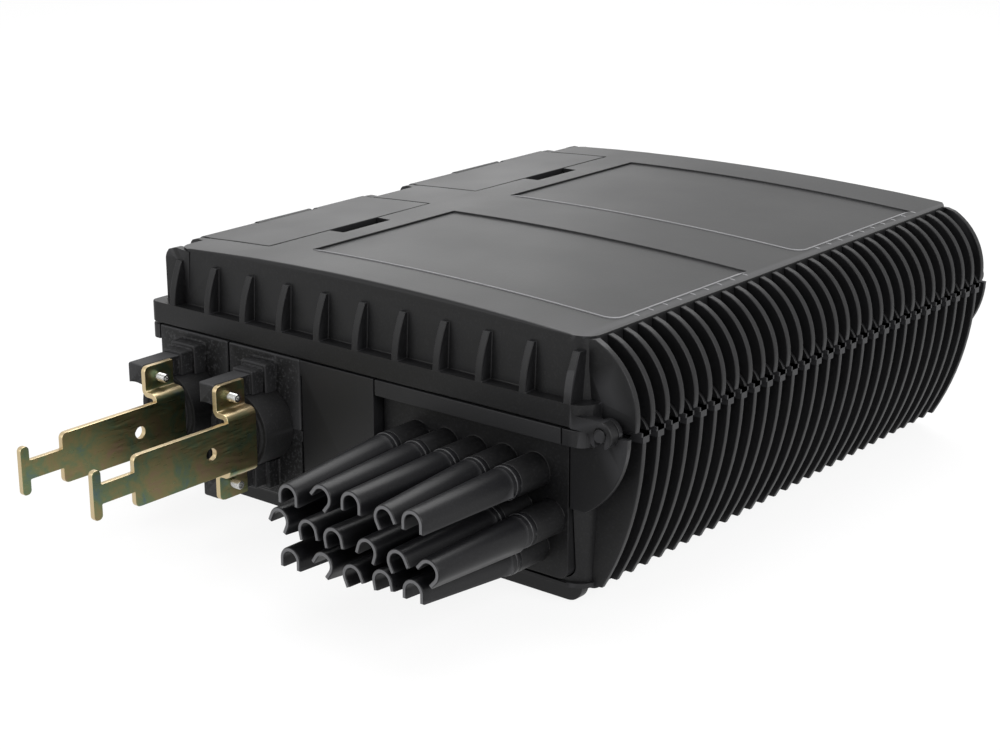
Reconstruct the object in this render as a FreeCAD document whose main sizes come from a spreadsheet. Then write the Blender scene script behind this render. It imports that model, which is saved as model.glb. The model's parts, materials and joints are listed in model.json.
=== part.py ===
import FreeCAD, Part
import math
import os
import Sketcher

# Fibre splice closure: a moulded tub and a finned lid on a side hinge, two flush draw latches,
# two split main cable ports with bent steel cable brackets, a block of drop cable plugs,
# and splice trays, splitter and patch panel inside.
# Frame: +X towards the hinge, -Y the way the cables leave, +Z up, origin on the resting plane.

SIZES = {
    # Shell of the tub and the lid
    "wall_half_x": 117.0,
    "wall_half_y": 150.0,
    "wall": 3.0,
    "floor": 3.0,
    "base_depth": 70.0,
    "base_draft": 4.0,
    "runner_height": 8.0,
    "runner_thickness": 5.0,
    "runner_inset": 3.5,
    "runner_gap": 15.0,
    "runner_radius": 7.0,
    "corner_radius": 9.0,
    "foot_lip": 1.2,
    "foot_lip_height": 2.0,
    "lid_depth": 35.0,
    "lid_draft": 2.0,
    "lid_crown": 4.0,
    "lid_top": 3.2,
    "lid_cavity": 28.0,
    "top_lip": 0.8,
    "rim_left": 9.0,
    "rim_right": 3.3,
    "rim_end": 5.5,
    "rim_corner": 4.0,
    "base_rim": 7.0,
    "lid_rim": 10.3,
    "seam": 0.8,
    "clearance": 0.3,
    "running_fit": 0.08,
    # Fins and hinge
    "fin_reach": 19.0,
    "fin_foot_rise": 0.4,
    "fin_foot_reach": 4.5,
    "base_fin": 2.6,
    "base_fin_radius": 135.0,
    "end_fin_drop": 35.0,
    "end_fin_radius": 40.0,
    "lid_fin": 3.0,
    "lid_fin_radius": 31.0,
    "base_fins": 31,
    "hinge_offset": 9.4,
    "hinge_rise": 0.5,
    "knuckle_radius": 5.4,
    "knuckle_width": 5.6,
    "hinge_pin_radius": 2.8,
    "hook_radius": 5.6,
    "hook_width": 4.8,
    # Lid ribs and panels
    "gusset": 3.5,
    "gusset_span": 222.0,
    "gussets": 11,
    "gusset_stop": 5.0,
    "gusset_tip": 2.0,
    "gusset_radius": 46.0,
    "panel_left": 56.0,
    "panel_right": 108.0,
    "panel_sink": 0.9,
    "panel_front": 121.0,
    "panel_front_end": 25.0,
    "panel_rear": 18.0,
    "panel_rear_end": 120.0,
    "seal_width": 3.0,
    "seal_depth": 2.6,
    # Latches
    "latch_near": 18.0,
    "latch_length": 108.0,
    "latch_inner": 78.0,
    "latch_plate": 3.0,
    "latch_barrel": 4.4,
    "flap_gap": 0.8,
    "pivot_out": 5.2,
    "pivot_drop": 4.4,
    "pivot_pin_radius": 1.5,
    "pivot_pin_reach": 16.0,
    "ear_radius": 4.2,
    "ear_width": 4.0,
    "end_rib_out": 6.0,
    "finger_slot_width": 10.0,
    "finger_slot_length": 32.0,
    "finger_slot_depth": 5.0,
    "link_width": 36.0,
    "link_plate": 2.6,
    "link_offset_x": 2.25,
    "link_offset_z": 1.3,
    "link_eye": 2.9,
    "link_pin_radius": 1.2,
    "link_notch": 40.0,
    "link_pin_grip": 4.0,
    "link_tail": 11.5,
    "link_lip": 3.0,
    "catch_depth": 2.5,
    "left_ribs": 7,
    "left_rib": 3.0,
    # Main cable ports
    "port_pitch": 44.3,
    "port_centre": 76.0,
    "port_height": 46.0,
    "port_plate_width": 43.2,
    "port_plate_foot": 13.0,
    "port_neck_half": 12.4,
    "port_neck_depth": 12.0,
    "port_neck_foot": 21.5,
    "grommet_radius": 17.0,
    "grommet_reach": 17.5,
    "grommet_neck": 10.6,
    "cable_radius": 8.5,
    "ear_span": 19.5,
    "ear_block_width": 9.0,
    "ear_block_height": 12.0,
    "ear_block_reach": 34.0,
    "ear_root_width": 15.0,
    "ear_root_reach": 6.5,
    "ear_root_rise": 3.0,
    "ear_step_width": 12.0,
    "ear_step_reach": 13.0,
    "ear_step_rise": 1.2,
    "tooth": 0.8,
    "tooth_height": 5.0,
    # Cable brackets and their screws
    "sheet": 2.5,
    "blade_offset": 11.2,
    "blade_height": 22.0,
    "blade_reach": 87.0,
    "bracket_start": 18.7,
    "tab_length": 16.3,
    "tab_radius": 2.5,
    "bend_radius": 2.2,
    "neck_height": 8.4,
    "neck_length": 17.0,
    "tee_length": 4.5,
    "tee_height": 21.0,
    "tee_radius": 2.0,
    "tie_hole_radius": 2.75,
    "tie_hole_reach": 45.0,
    "screw_radius": 2.0,
    "screw_head_radius": 3.6,
    "screw_head": 3.0,
    "screw_tip": 4.5,
    # Drop cable block and plugs
    "drop_left": 11.0,
    "drop_right": 108.0,
    "drop_foot": 12.0,
    "drop_plate": 6.0,
    "drop_corner": 5.0,
    "drop_gap": 0.6,
    "drop_pitch_x": 15.4,
    "drop_pitch_z": 18.0,
    "drop_pitch_low": 13.6,
    "drop_centre_x": 60.8,
    "drop_centre_z": 37.6,
    "tube_radius": 7.2,
    "tube_reach": 17.5,
    "plug_radius": 5.2,
    "plug_shank": 19.5,
    "plug_collar": 2.5,
    "trough_length": 54.0,
    "trough_root": 6.8,
    "trough_end": 5.3,
    "trough_wall": 1.9,
    "trough_leg": 3.6,
    # Fibre deck, trays and patching inside
    "deck_half_x": 100.0,
    "deck_front": -100.0,
    "deck_rear": 140.0,
    "deck_lift": 3.0,
    "deck_plate": 2.0,
    "guide_radius": 40.0,
    "guide_height": 12.0,
    "guide_wall": 2.0,
    "tray_half_x": 92.0,
    "tray_front": 0.0,
    "tray_rear": 128.0,
    "tray_first": 32.0,
    "tray_pitch": 11.0,
    "tray_height": 9.0,
    "tray_wall": 1.8,
    "tray_pin_radius": 2.0,
    "tray_pin_back": 5.0,
    "tray_lug": 8.0,
    "post_width": 8.0,
    "post_inset": 60.0,
    "comb_length": 64.0,
    "comb_width": 26.0,
    "comb_height": 5.0,
    "comb_groove": 2.6,
    "comb_pitch": 5.0,
    "cover_plate": 1.5,
    "splitter_length": 84.0,
    "splitter_width": 56.0,
    "splitter_height": 12.0,
    "patch_y": -76.0,
    "patch_plate": 2.0,
    "patch_pitch_x": 12.4,
    "patch_pitch_z": 19.0,
    "patch_centre_x": 52.0,
    "patch_centre_z": 41.0,
    "patch_margin": 6.0,
    "patch_foot": 14.0,
    "adapter_width": 9.4,
    "adapter_height": 13.0,
    "adapter_length": 26.0,
    "adapter_flange": 2.2,
    "adapter_flange_height": 15.4,
    "cap_length": 9.0,
    "cap_inset": 1.2,
    "clamp_width": 23.0,
    "clamp_depth": 16.0,
    "clamp_back": 30.0,
    "clamp_strap": 2.0,
    "clamp_screw_radius": 1.2,
    # Underside fixings
    "mount_half_x": 80.0,
    "mount_half_y": 100.0,
    "mount_boss_radius": 8.0,
    "mount_insert_radius": 4.0,
    "mount_thread_radius": 2.5,
    "mount_depth": 9.0,
}

# Each drop plug's turn about its own axis in degrees, and how far its soft trough has bent
# to the side and up at the free end, row by row from the top
PLUG_ROWS = (
    ((0.0, -2.5, -5.0), (40.0, 0.0, -1.0), (0.0, 0.0, 0.0), (-28.0, 1.5, -1.5), (0.0, 0.0, 0.0)),
    ((25.0, 0.0, 2.0), (-12.0, 0.0, 1.0), (-12.0, -2.0, 1.0), (18.0, 0.0, 1.0), (-28.0, 0.0, 0.5), (42.0, 0.0, 0.5)),
    ((0.0, -2.5, 0.0), (35.0, 0.0, 3.0), (-25.0, 0.0, 2.0), (-12.0, 0.0, 4.0), (0.0, 0.0, 4.0)),
)


class Size:
    """A length with its value and the sheet formula that it comes from."""

    def __init__(self, value, formula):
        self.value = value
        self.formula = formula

    @staticmethod
    def of(item):
        return item if isinstance(item, Size) else Size(float(item), f"({float(item)!r})")

    def join(self, sign, other, value):
        return Size(value, f"({self.formula} {sign} {other.formula})")

    def __add__(self, other):
        other = Size.of(other)
        return self.join("+", other, self.value + other.value)

    def __sub__(self, other):
        other = Size.of(other)
        return self.join("-", other, self.value - other.value)

    def __mul__(self, other):
        other = Size.of(other)
        return self.join("*", other, self.value * other.value)

    def __truediv__(self, other):
        other = Size.of(other)
        return self.join("/", other, self.value / other.value)

    def __radd__(self, other):
        return Size.of(other) + self

    def __rsub__(self, other):
        return Size.of(other) - self

    def __rmul__(self, other):
        return Size.of(other) * self

    def __neg__(self):
        return Size(-self.value, f"(0 - {self.formula})")

    def root(self):
        return Size(math.sqrt(self.value), f"sqrt({self.formula})")


doc = FreeCAD.newDocument("fibre_splice_closure")
sheet = doc.addObject("Spreadsheet::Sheet", "Sizes")
for row, (alias, number) in enumerate(SIZES.items(), start=1):
    sheet.set(f"A{row}", alias)
    sheet.set(f"B{row}", str(number))
    sheet.setAlias(f"B{row}", alias)
doc.recompute()


class Sheet:
    """Gives each sheet cell as a Size by its alias."""

    def __getattr__(self, alias):
        return Size(float(SIZES[alias]), f"Sizes.{alias}")


S = Sheet()
PARTS = []

# Heights and places that several pieces share
underside = S.runner_height
split = underside + S.base_depth
lid_low = split + S.seam
lid_edge = split + S.lid_depth
rim_front = S.wall_half_y + S.rim_end
hinge_x = S.wall_half_x + S.hinge_offset
hinge_z = split + S.hinge_rise
fin_pitch = (2 * S.wall_half_y - S.base_fin) / (S.base_fins - 1)
first_fin = S.base_fin / 2 - S.wall_half_y
crown_half = S.wall_half_x - S.lid_draft + S.top_lip
crown_radius = (crown_half * crown_half + S.lid_crown * S.lid_crown) / (2 * S.lid_crown)
latch_step = 2 * S.latch_near + S.latch_length
latch_middle = S.latch_near + S.latch_length / 2
pivot_x = -(S.wall_half_x - S.lid_draft) - S.pivot_out
pivot_z = lid_edge - S.pivot_drop
link_x = pivot_x - S.link_offset_x
link_z = pivot_z + S.link_offset_z
floor_top = underside + S.floor
above = lid_edge + 4 * S.lid_crown


def crown_height(x, inset):
    """Height of the crowned top at a distance x from the middle, sunk by inset."""
    inner = crown_radius - inset
    return lid_edge + S.lid_crown - crown_radius + (inner * inner - x * x).root()


def bind(item, **formulas):
    """Ties properties to the sheet, with dots in a property's path written as double underscores."""
    for path, size in formulas.items():
        item.setExpression(path.replace("__", "."), Size.of(size).formula)


def plane_of(body, role):
    return next(feature for feature in body.Origin.OriginFeatures if feature.Role == role)


def new_body(name):
    return doc.addObject("PartDesign::Body", name)


def add_path(sketch, vertices):
    """Draws one closed path. A vertex is (x, y), or (x, y, radius, turn) where the edge that leads
    to it is an arc, with turn +1 for anticlockwise and -1 for clockwise."""
    spots = [(Size.of(vertex[0]), Size.of(vertex[1])) for vertex in vertices]
    edges = []
    for k, vertex in enumerate(vertices):
        start, end = (FreeCAD.Vector(x.value, y.value, 0) for x, y in (spots[k - 1], spots[k]))
        if len(vertex) == 2:
            edges.append((sketch.addGeometry(Part.LineSegment(start, end), False), 1, 2))
            continue
        radius, turn = Size.of(vertex[2]), vertex[3]
        chord = end - start
        rise = math.sqrt(max(radius.value ** 2 - chord.Length ** 2 / 4, 0.0))
        side = FreeCAD.Vector(-chord.y, chord.x, 0) * (turn / chord.Length)
        centre = (start + end) * 0.5 + side * rise
        ends = (start, end) if turn > 0 else (end, start)
        angles = [math.atan2(point.y - centre.y, point.x - centre.x) for point in ends]
        if angles[1] < angles[0]:
            angles[1] += 2 * math.pi
        circle = Part.Circle(centre, FreeCAD.Vector(0, 0, 1), radius.value)
        index = sketch.addGeometry(Part.ArcOfCircle(circle, *angles), False)
        edges.append((index, 1, 2) if turn > 0 else (index, 2, 1))
        add_datum(sketch, Sketcher.Constraint("Radius", index, radius.value), radius)
    for k, (index, first, last) in enumerate(edges):
        following, joint, _ = edges[(k + 1) % len(edges)]
        sketch.addConstraint(Sketcher.Constraint("Coincident", index, last, following, joint))
        for kind, size in zip(("DistanceX", "DistanceY"), spots[k]):
            add_datum(sketch, Sketcher.Constraint(kind, -1, 1, index, last, size.value), size)


def add_circle(sketch, x, y, radius):
    """Draws one circle with its centre and radius tied to the sheet."""
    x, y, radius = Size.of(x), Size.of(y), Size.of(radius)
    circle = Part.Circle(FreeCAD.Vector(x.value, y.value, 0), FreeCAD.Vector(0, 0, 1), radius.value)
    index = sketch.addGeometry(circle, False)
    for kind, size in (("DistanceX", x), ("DistanceY", y)):
        add_datum(sketch, Sketcher.Constraint(kind, -1, 1, index, 3, size.value), size)
    add_datum(sketch, Sketcher.Constraint("Radius", index, radius.value), radius)


def add_datum(sketch, constraint, size):
    number = sketch.addConstraint(constraint)
    sketch.renameConstraint(number, f"datum{number}")
    sketch.setExpression(f"Constraints.datum{number}", size.formula)


def new_sketch(body, role, offset, paths=(), circles=()):
    """A sketch on one of the body's own planes, moved along the plane's normal by offset.
    On XZ the normal is -Y, so the offset there is the distance towards the front."""
    sketch = body.newObject("Sketcher::SketchObject", "outline")
    sketch.AttachmentSupport = [(plane_of(body, role), "")]
    sketch.MapMode = "FlatFace"
    bind(sketch, AttachmentOffset__Base__z=offset)
    for path in paths:
        add_path(sketch, path)
    for circle in circles:
        add_circle(sketch, *circle)
    return sketch


def extrude(body, kind, sketch, length, flip=False):
    """Pad or Pocket of a sketch. A pad runs along the plane's normal and a pocket against it."""
    feature = body.newObject(f"PartDesign::{kind}", kind.lower())
    feature.Profile = sketch
    feature.Reversed = flip
    feature.Refine = False
    bind(feature, Length=length)
    return feature


def pad(body, sketch, length, flip=False):
    return extrude(body, "Pad", sketch, length, flip)


def pocket(body, sketch, length, flip=False):
    """Cuts a sketch's outline and checks that something was cut."""
    doc.recompute()
    before = body.Tip.Shape.Volume
    feature = extrude(body, "Pocket", sketch, length, flip)
    doc.recompute()
    if feature.Shape.Volume >= before:
        raise RuntimeError(f"{body.Name}: a pocket cut nothing")
    return feature


def loft(body, kind, sections):
    """AdditiveLoft or SubtractiveLoft with flat sides through the given sketches."""
    feature = body.newObject(f"PartDesign::{kind}", kind.lower())
    feature.Profile = sections[0]
    feature.Sections = list(sections[1:])
    feature.Ruled = True
    feature.Refine = False
    return feature


def repeat(body, feature, role, length, count):
    """Repeats a feature along one of the body's axes, over the given length."""
    doc.recompute()
    pattern = body.newObject("PartDesign::LinearPattern", "row")
    pattern.Originals = [feature]
    pattern.Refine = False
    pattern.Direction = (plane_of(body, role), [""])
    bind(pattern, Length=length, Occurrences=count)
    body.Tip = pattern
    return pattern


def rounded(low_x, high_x, low_y, high_y, radius, left=None):
    """Path of a rectangle with rounded corners, which may have another radius at the left end."""
    left = radius if left is None else left
    low_x, high_x, low_y, high_y = (Size.of(side) for side in (low_x, high_x, low_y, high_y))
    return [
        (high_x - radius, low_y),
        (high_x, low_y + radius, radius, 1),
        (high_x, high_y - radius),
        (high_x - radius, high_y, radius, 1),
        (low_x + left, high_y),
        (low_x, high_y - left, left, 1),
        (low_x, low_y + left),
        (low_x + left, low_y, left, 1),
    ]


def centred(half_x, half_y, radius):
    return rounded(-half_x, half_x, -half_y, half_y, radius)


def cradle(low_x, high_x, low_y, high_y, radius):
    """Path of a rectangle whose two lower corners are rounded."""
    low_x, high_x, low_y = (Size.of(side) for side in (low_x, high_x, low_y))
    return [
        (high_x - radius, low_y),
        (high_x, low_y + radius, radius, 1),
        (high_x, high_y),
        (low_x, high_y),
        (low_x, low_y + radius),
        (low_x + radius, low_y, radius, 1),
    ]


def rectangle(low_x, high_x, low_y, high_y):
    return [(low_x, low_y), (high_x, low_y), (high_x, high_y), (low_x, high_y)]


def block(name, low, high):
    """A box between two corners."""
    item = doc.addObject("Part::Box", name)
    low = [Size.of(side) for side in low]
    high = [Size.of(side) for side in high]
    bind(item, Length=high[0] - low[0], Width=high[1] - low[1], Height=high[2] - low[2])
    bind(item, Placement__Base__x=low[0], Placement__Base__y=low[1], Placement__Base__z=low[2])
    return item


TURNS = {
    "X": FreeCAD.Rotation(FreeCAD.Vector(0, 1, 0), 90),
    "Y": FreeCAD.Rotation(FreeCAD.Vector(1, 0, 0), -90),
    "Z": FreeCAD.Rotation(),
}


def drum(name, axis, foot, radius, length):
    """A cylinder that starts at foot and runs along an axis."""
    item = doc.addObject("Part::Cylinder", name)
    item.Placement = FreeCAD.Placement(FreeCAD.Vector(), TURNS[axis])
    bind(item, Radius=radius, Height=length)
    bind(item, Placement__Base__x=foot[0], Placement__Base__y=foot[1], Placement__Base__z=foot[2])
    return item


def fuse(name, items):
    item = doc.addObject("Part::MultiFuse", name)
    item.Shapes = items
    item.Refine = True
    return item


def group(name, items):
    """Several separate solids in one piece of the list."""
    item = doc.addObject("Part::Compound", name)
    item.Links = items
    return item


def cut(name, base, tools):
    item = doc.addObject("Part::Cut", name)
    item.Base = base
    item.Tool = tools[0] if len(tools) == 1 else fuse(name + "_tools", tools)
    return item


def common(name, base, tool):
    item = doc.addObject("Part::Common", name)
    item.Base = base
    item.Tool = tool
    return item


def keep(label, item):
    """Lists a finished piece under the name of its file, with its coplanar faces joined."""
    item.Label = label
    if item.TypeId == "PartDesign::Body":
        item.Tip.Refine = True
    PARTS.append(item)
    return item


def fin_sketch(body, offset, foot_z, foot_x, radius):
    """Side fin of the tub: a bowed edge from the hinge line in to the wall."""
    root = S.wall_half_x / 2
    crest = split - S.seam
    return new_sketch(body, "XZ_Plane", offset, [[
        (root, foot_z),
        (foot_x, foot_z),
        (S.wall_half_x + S.fin_reach, crest, radius, 1),
        (root, crest),
    ]])


def base_housing():
    """Tub: drafted walls, rim, fins with hinge knuckles, runners, and openings for the ports."""
    body = new_body("base_housing")
    foot_x = S.wall_half_x - S.base_draft
    foot_y = S.wall_half_y - S.base_draft
    foot = new_sketch(body, "XY_Plane", underside, [centred(foot_x, foot_y, S.corner_radius)])
    brim = new_sketch(body, "XY_Plane", split, [centred(S.wall_half_x, S.wall_half_y, S.corner_radius)])
    loft(body, "AdditiveLoft", (foot, brim))
    lip = centred(foot_x + S.foot_lip, foot_y + S.foot_lip, S.corner_radius)
    pad(body, new_sketch(body, "XY_Plane", underside, [lip]), S.foot_lip_height)
    rim = rounded(-S.wall_half_x - S.rim_left, S.wall_half_x + S.rim_right, -rim_front, rim_front,
                  S.corner_radius, left=S.rim_corner)
    pad(body, new_sketch(body, "XY_Plane", split, [rim]), S.base_rim, flip=True)

    # Fins along the hinge side, with the two end plates shorter than the rest
    foot_z = underside + S.fin_foot_rise
    inner_fins = S.base_fins - 3
    full = fin_sketch(body, S.base_fin / 2 - first_fin - fin_pitch, foot_z, foot_x + S.fin_foot_reach, S.base_fin_radius)
    repeat(body, pad(body, full, S.base_fin, flip=True), "Y_Axis", fin_pitch * inner_fins, S.base_fins - 2)
    stub = fin_sketch(body, S.wall_half_y, split - S.end_fin_drop, S.wall_half_x - 1, S.end_fin_radius)
    repeat(body, pad(body, stub, S.base_fin, flip=True), "Y_Axis", 2 * S.wall_half_y - S.base_fin, 2)
    knuckle = new_sketch(body, "XZ_Plane", S.knuckle_width / 2 - first_fin - fin_pitch,
                         circles=[(hinge_x, hinge_z, S.knuckle_radius)])
    repeat(body, pad(body, knuckle, S.knuckle_width, flip=True), "Y_Axis", fin_pitch * inner_fins, S.base_fins - 2)
    end_knuckle = new_sketch(body, "XZ_Plane", S.wall_half_y, circles=[(hinge_x, hinge_z, S.knuckle_radius)])
    repeat(body, pad(body, end_knuckle, S.base_fin, flip=True), "Y_Axis", 2 * S.wall_half_y - S.base_fin, 2)
    pin = new_sketch(body, "XZ_Plane", rim_front, circles=[(hinge_x, hinge_z, S.hinge_pin_radius)])
    repeat(body, pad(body, pin, S.rim_end + S.clearance, flip=True), "Y_Axis", 2 * S.wall_half_y + S.rim_end - S.clearance, 2)

    # Ribs under the rim on the latch side
    rib_low = underside + S.base_depth / 3
    rib = [
        (-foot_x + 2 * S.wall, rib_low),
        (-foot_x + 2 * S.wall, split - S.base_rim / 2),
        (-S.wall_half_x - S.rim_left + S.clearance, split - S.base_rim / 2),
        (-S.wall_half_x - S.rim_left + S.clearance, split - 2 * S.base_rim),
    ]
    rib_span = 2 * foot_y - S.left_rib
    rib_sketch = new_sketch(body, "XZ_Plane", foot_y, [rib])
    repeat(body, pad(body, rib_sketch, S.left_rib, flip=True), "Y_Axis", rib_span, S.left_ribs)

    # Flush post between the main ports and the drop block
    post_left = -S.port_centre + (S.port_pitch + S.port_plate_width) / 2 + S.tooth + S.clearance
    post = rectangle(post_left, S.drop_left - S.clearance, -rim_front, -foot_y + S.wall)
    pad(body, new_sketch(body, "XY_Plane", underside, [post]), S.base_depth)

    # Runners under the floor, in pairs near both ends
    runner = cradle(-foot_x + S.runner_inset, foot_x - S.runner_inset, 0, underside + S.floor / 2, S.runner_radius)
    for inset in (S.runner_inset, S.runner_inset + S.runner_gap):
        line = new_sketch(body, "XZ_Plane", foot_y - inset, [runner])
        repeat(body, pad(body, line, S.runner_thickness, flip=True), "Y_Axis",
               2 * (foot_y - inset) - S.runner_thickness, 2)

    # Bosses for the fixing screws
    corners = [(a * S.mount_half_x, b * S.mount_half_y) for a in (-1, 1) for b in (-1, 1)]
    bosses = new_sketch(body, "XY_Plane", 0, circles=[(x, y, S.mount_boss_radius) for x, y in corners])
    pad(body, bosses, floor_top + S.floor)

    # Hollow of the tub
    low = new_sketch(body, "XY_Plane", floor_top, [centred(foot_x - S.wall, foot_y - S.wall, S.corner_radius - S.wall)])
    high = new_sketch(body, "XY_Plane", split + S.seam,
                      [centred(S.wall_half_x - S.wall, S.wall_half_y - S.wall, S.corner_radius - S.wall)])
    loft(body, "SubtractiveLoft", (low, high))
    inner_bosses = new_sketch(body, "XY_Plane", underside, circles=[(x, y, S.mount_boss_radius) for x, y in corners])
    pad(body, inner_bosses, 2 * S.floor)
    seats = new_sketch(body, "XY_Plane", 0, circles=[(x, y, S.mount_insert_radius) for x, y in corners])
    pocket(body, seats, S.mount_depth, flip=True)

    # Openings for the port necks and plates, the drop block and the latch hooks
    half_plates = (S.port_pitch + S.port_plate_width) / 2 + S.clearance
    plates = rectangle(-S.port_centre - half_plates, -S.port_centre + half_plates, underside + S.foot_lip_height, split + 1)
    pocket(body, new_sketch(body, "XZ_Plane", rim_front + 1, [plates]), S.rim_end + 1)
    for side in (-1, 1):
        centre = -S.port_centre + side * S.port_pitch / 2
        half = S.port_neck_half + S.clearance
        neck = rectangle(centre - half, centre + half, S.port_neck_foot - S.clearance, split + 1)
        pocket(body, new_sketch(body, "XZ_Plane", rim_front, [neck]), S.rim_end + S.port_neck_depth + S.clearance)
    window = cradle(S.drop_left - S.drop_gap, S.drop_right + S.drop_gap, S.drop_foot - S.clearance, split + 1, S.drop_corner)
    pocket(body, new_sketch(body, "XZ_Plane", rim_front + 1, [window]), S.rim_end + S.base_draft + 2 * S.wall)
    gap = rectangle(-latch_middle - S.link_width / 2 - 1, -latch_middle + S.link_width / 2 + 1,
                    split - S.base_rim - 1, split + 1)
    gap_sketch = new_sketch(body, "YZ_Plane", -S.wall_half_x - S.catch_depth, [gap])
    repeat(body, pocket(body, gap_sketch, S.rim_left + 1, flip=False), "Y_Axis", latch_step, 2)
    return keep("base_housing", body)


def seal_ring():
    """Inner and outer edge of the groove for the lid's seal."""
    rings = []
    for grow in (S.rim_right - S.seal_width / 2 - S.clearance, S.rim_right - 3 * S.seal_width / 2 - S.clearance):
        rings.append(centred(S.wall_half_x + grow, S.wall_half_y + grow, S.corner_radius + grow))
    return rings


def lid_cover():
    """Lid: crowned top, rim, end gussets, fins with hinge hooks, and recesses for the latches."""
    body = new_body("lid_cover")
    edge_x = S.wall_half_x - S.lid_draft
    edge_y = S.wall_half_y - S.lid_draft
    low = new_sketch(body, "XY_Plane", lid_low, [centred(S.wall_half_x, S.wall_half_y, S.corner_radius)])
    high = new_sketch(body, "XY_Plane", lid_edge, [centred(edge_x, edge_y, S.corner_radius)])
    loft(body, "AdditiveLoft", (low, high))
    cap_end = edge_y + S.top_lip
    cap = [
        (-crown_half, lid_edge - S.top_lip),
        (crown_half, lid_edge - S.top_lip),
        (crown_half, lid_edge),
        (-crown_half, lid_edge, crown_radius, 1),
    ]
    pad(body, new_sketch(body, "XZ_Plane", cap_end, [cap]), 2 * cap_end, flip=True)
    trim = [rectangle(-2 * crown_half, 2 * crown_half, -2 * cap_end, 2 * cap_end),
            centred(crown_half, cap_end, S.corner_radius)]
    pocket(body, new_sketch(body, "XY_Plane", above, trim), above - lid_edge + S.top_lip)
    rim = rounded(-S.wall_half_x - S.rim_left, S.wall_half_x + S.rim_right, -rim_front, rim_front,
                  S.corner_radius, left=S.rim_corner)
    pad(body, new_sketch(body, "XY_Plane", lid_low, [rim]), S.lid_rim - S.seam)

    # Gussets above the rim at both ends
    foot = split + S.lid_rim - 1
    stop = lid_edge - S.gusset_stop
    web = [
        (-rim_front, foot, S.gusset_radius, 1),
        (rim_front, foot),
        (edge_y + S.gusset_tip, stop, S.gusset_radius, 1),
        (-edge_y - S.gusset_tip, stop),
    ]
    webs = new_sketch(body, "YZ_Plane", -(S.gusset_span + S.gusset) / 2, [web])
    repeat(body, pad(body, webs, S.gusset), "X_Axis", S.gusset_span, S.gussets)

    # Fins between those of the tub, and the hooks on the hinge pins
    fin = [
        (S.wall_half_x / 2, lid_low),
        (S.wall_half_x + S.fin_reach, lid_low),
        (S.wall_half_x, lid_edge - S.top_lip, S.lid_fin_radius, 1),
        (S.wall_half_x / 2, lid_edge - S.top_lip),
    ]
    fins = new_sketch(body, "XZ_Plane", S.lid_fin / 2 - first_fin - fin_pitch / 2, [fin])
    repeat(body, pad(body, fins, S.lid_fin, flip=True), "Y_Axis", fin_pitch * (S.base_fins - 2), S.base_fins - 1)
    hook = [
        (S.wall_half_x - S.corner_radius / 2, hinge_z),
        (hinge_x - S.hook_radius, hinge_z),
        (hinge_x + S.hook_radius, hinge_z, S.hook_radius, 1),
        (hinge_x, hinge_z + S.hook_radius, S.hook_radius, 1),
        (S.wall_half_x - S.corner_radius / 2, hinge_z + S.hook_radius),
    ]
    hook_end = rim_front - S.clearance
    hook_step = 2 * hook_end - S.hook_width
    hooks = new_sketch(body, "XZ_Plane", hook_end, [hook])
    repeat(body, pad(body, hooks, S.hook_width, flip=True), "Y_Axis", hook_step, 2)

    # Ribs at the ends of the latch side, and the ears that carry the latches
    outer = -edge_x - S.end_rib_out
    rib = [
        (-edge_x + S.corner_radius, lid_low + S.lid_rim / 2),
        (-edge_x + S.corner_radius, lid_edge - S.top_lip),
        (-edge_x, lid_edge),
        (outer, lid_edge - S.end_rib_out, S.end_rib_out, 1),
        (outer, lid_low + S.lid_rim / 2),
    ]
    ribs = new_sketch(body, "XZ_Plane", S.wall_half_y - S.top_lip, [rib])
    repeat(body, pad(body, ribs, S.ear_width, flip=True), "Y_Axis",
           2 * (S.wall_half_y - S.top_lip) - S.ear_width, 2)
    ear = [
        (-edge_x + S.wall, pivot_z - 2 * S.ear_radius),
        (-edge_x + S.wall, lid_edge - S.top_lip),
        (-edge_x - S.top_lip, pivot_z + S.ear_radius),
        (pivot_x, pivot_z + S.ear_radius),
        (pivot_x - S.ear_radius, pivot_z, S.ear_radius, 1),
    ]
    ears_end = S.latch_near + S.latch_length + S.flap_gap + S.ear_width
    for offset in (ears_end, S.latch_near - S.flap_gap):
        ears = new_sketch(body, "XZ_Plane", offset, [ear])
        repeat(body, pad(body, ears, S.ear_width, flip=True), "Y_Axis", latch_step, 2)

    # Hollow, which follows the crown under the two panels
    slope = S.lid_draft * S.lid_cavity / S.lid_depth
    inside = [centred(S.wall_half_x - S.wall - lean, S.wall_half_y - S.wall - lean, S.corner_radius - S.wall)
              for lean in (Size.of(0), slope)]
    low = new_sketch(body, "XY_Plane", lid_low - S.seam, [inside[0]])
    high = new_sketch(body, "XY_Plane", lid_low + S.lid_cavity, [inside[1]])
    loft(body, "SubtractiveLoft", (low, high))
    left, right = S.panel_left + 2 * S.wall, S.panel_right + S.wall / 3
    vault = [
        (-left, lid_low + S.lid_cavity - 1),
        (right, lid_low + S.lid_cavity - 1),
        (right, crown_height(right, S.lid_top)),
        (-left, crown_height(left, S.lid_top), crown_radius - S.lid_top, 1),
    ]
    vault_end = S.wall_half_y - 2 * S.wall
    pocket(body, new_sketch(body, "XZ_Plane", vault_end, [vault]), 2 * vault_end)

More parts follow.
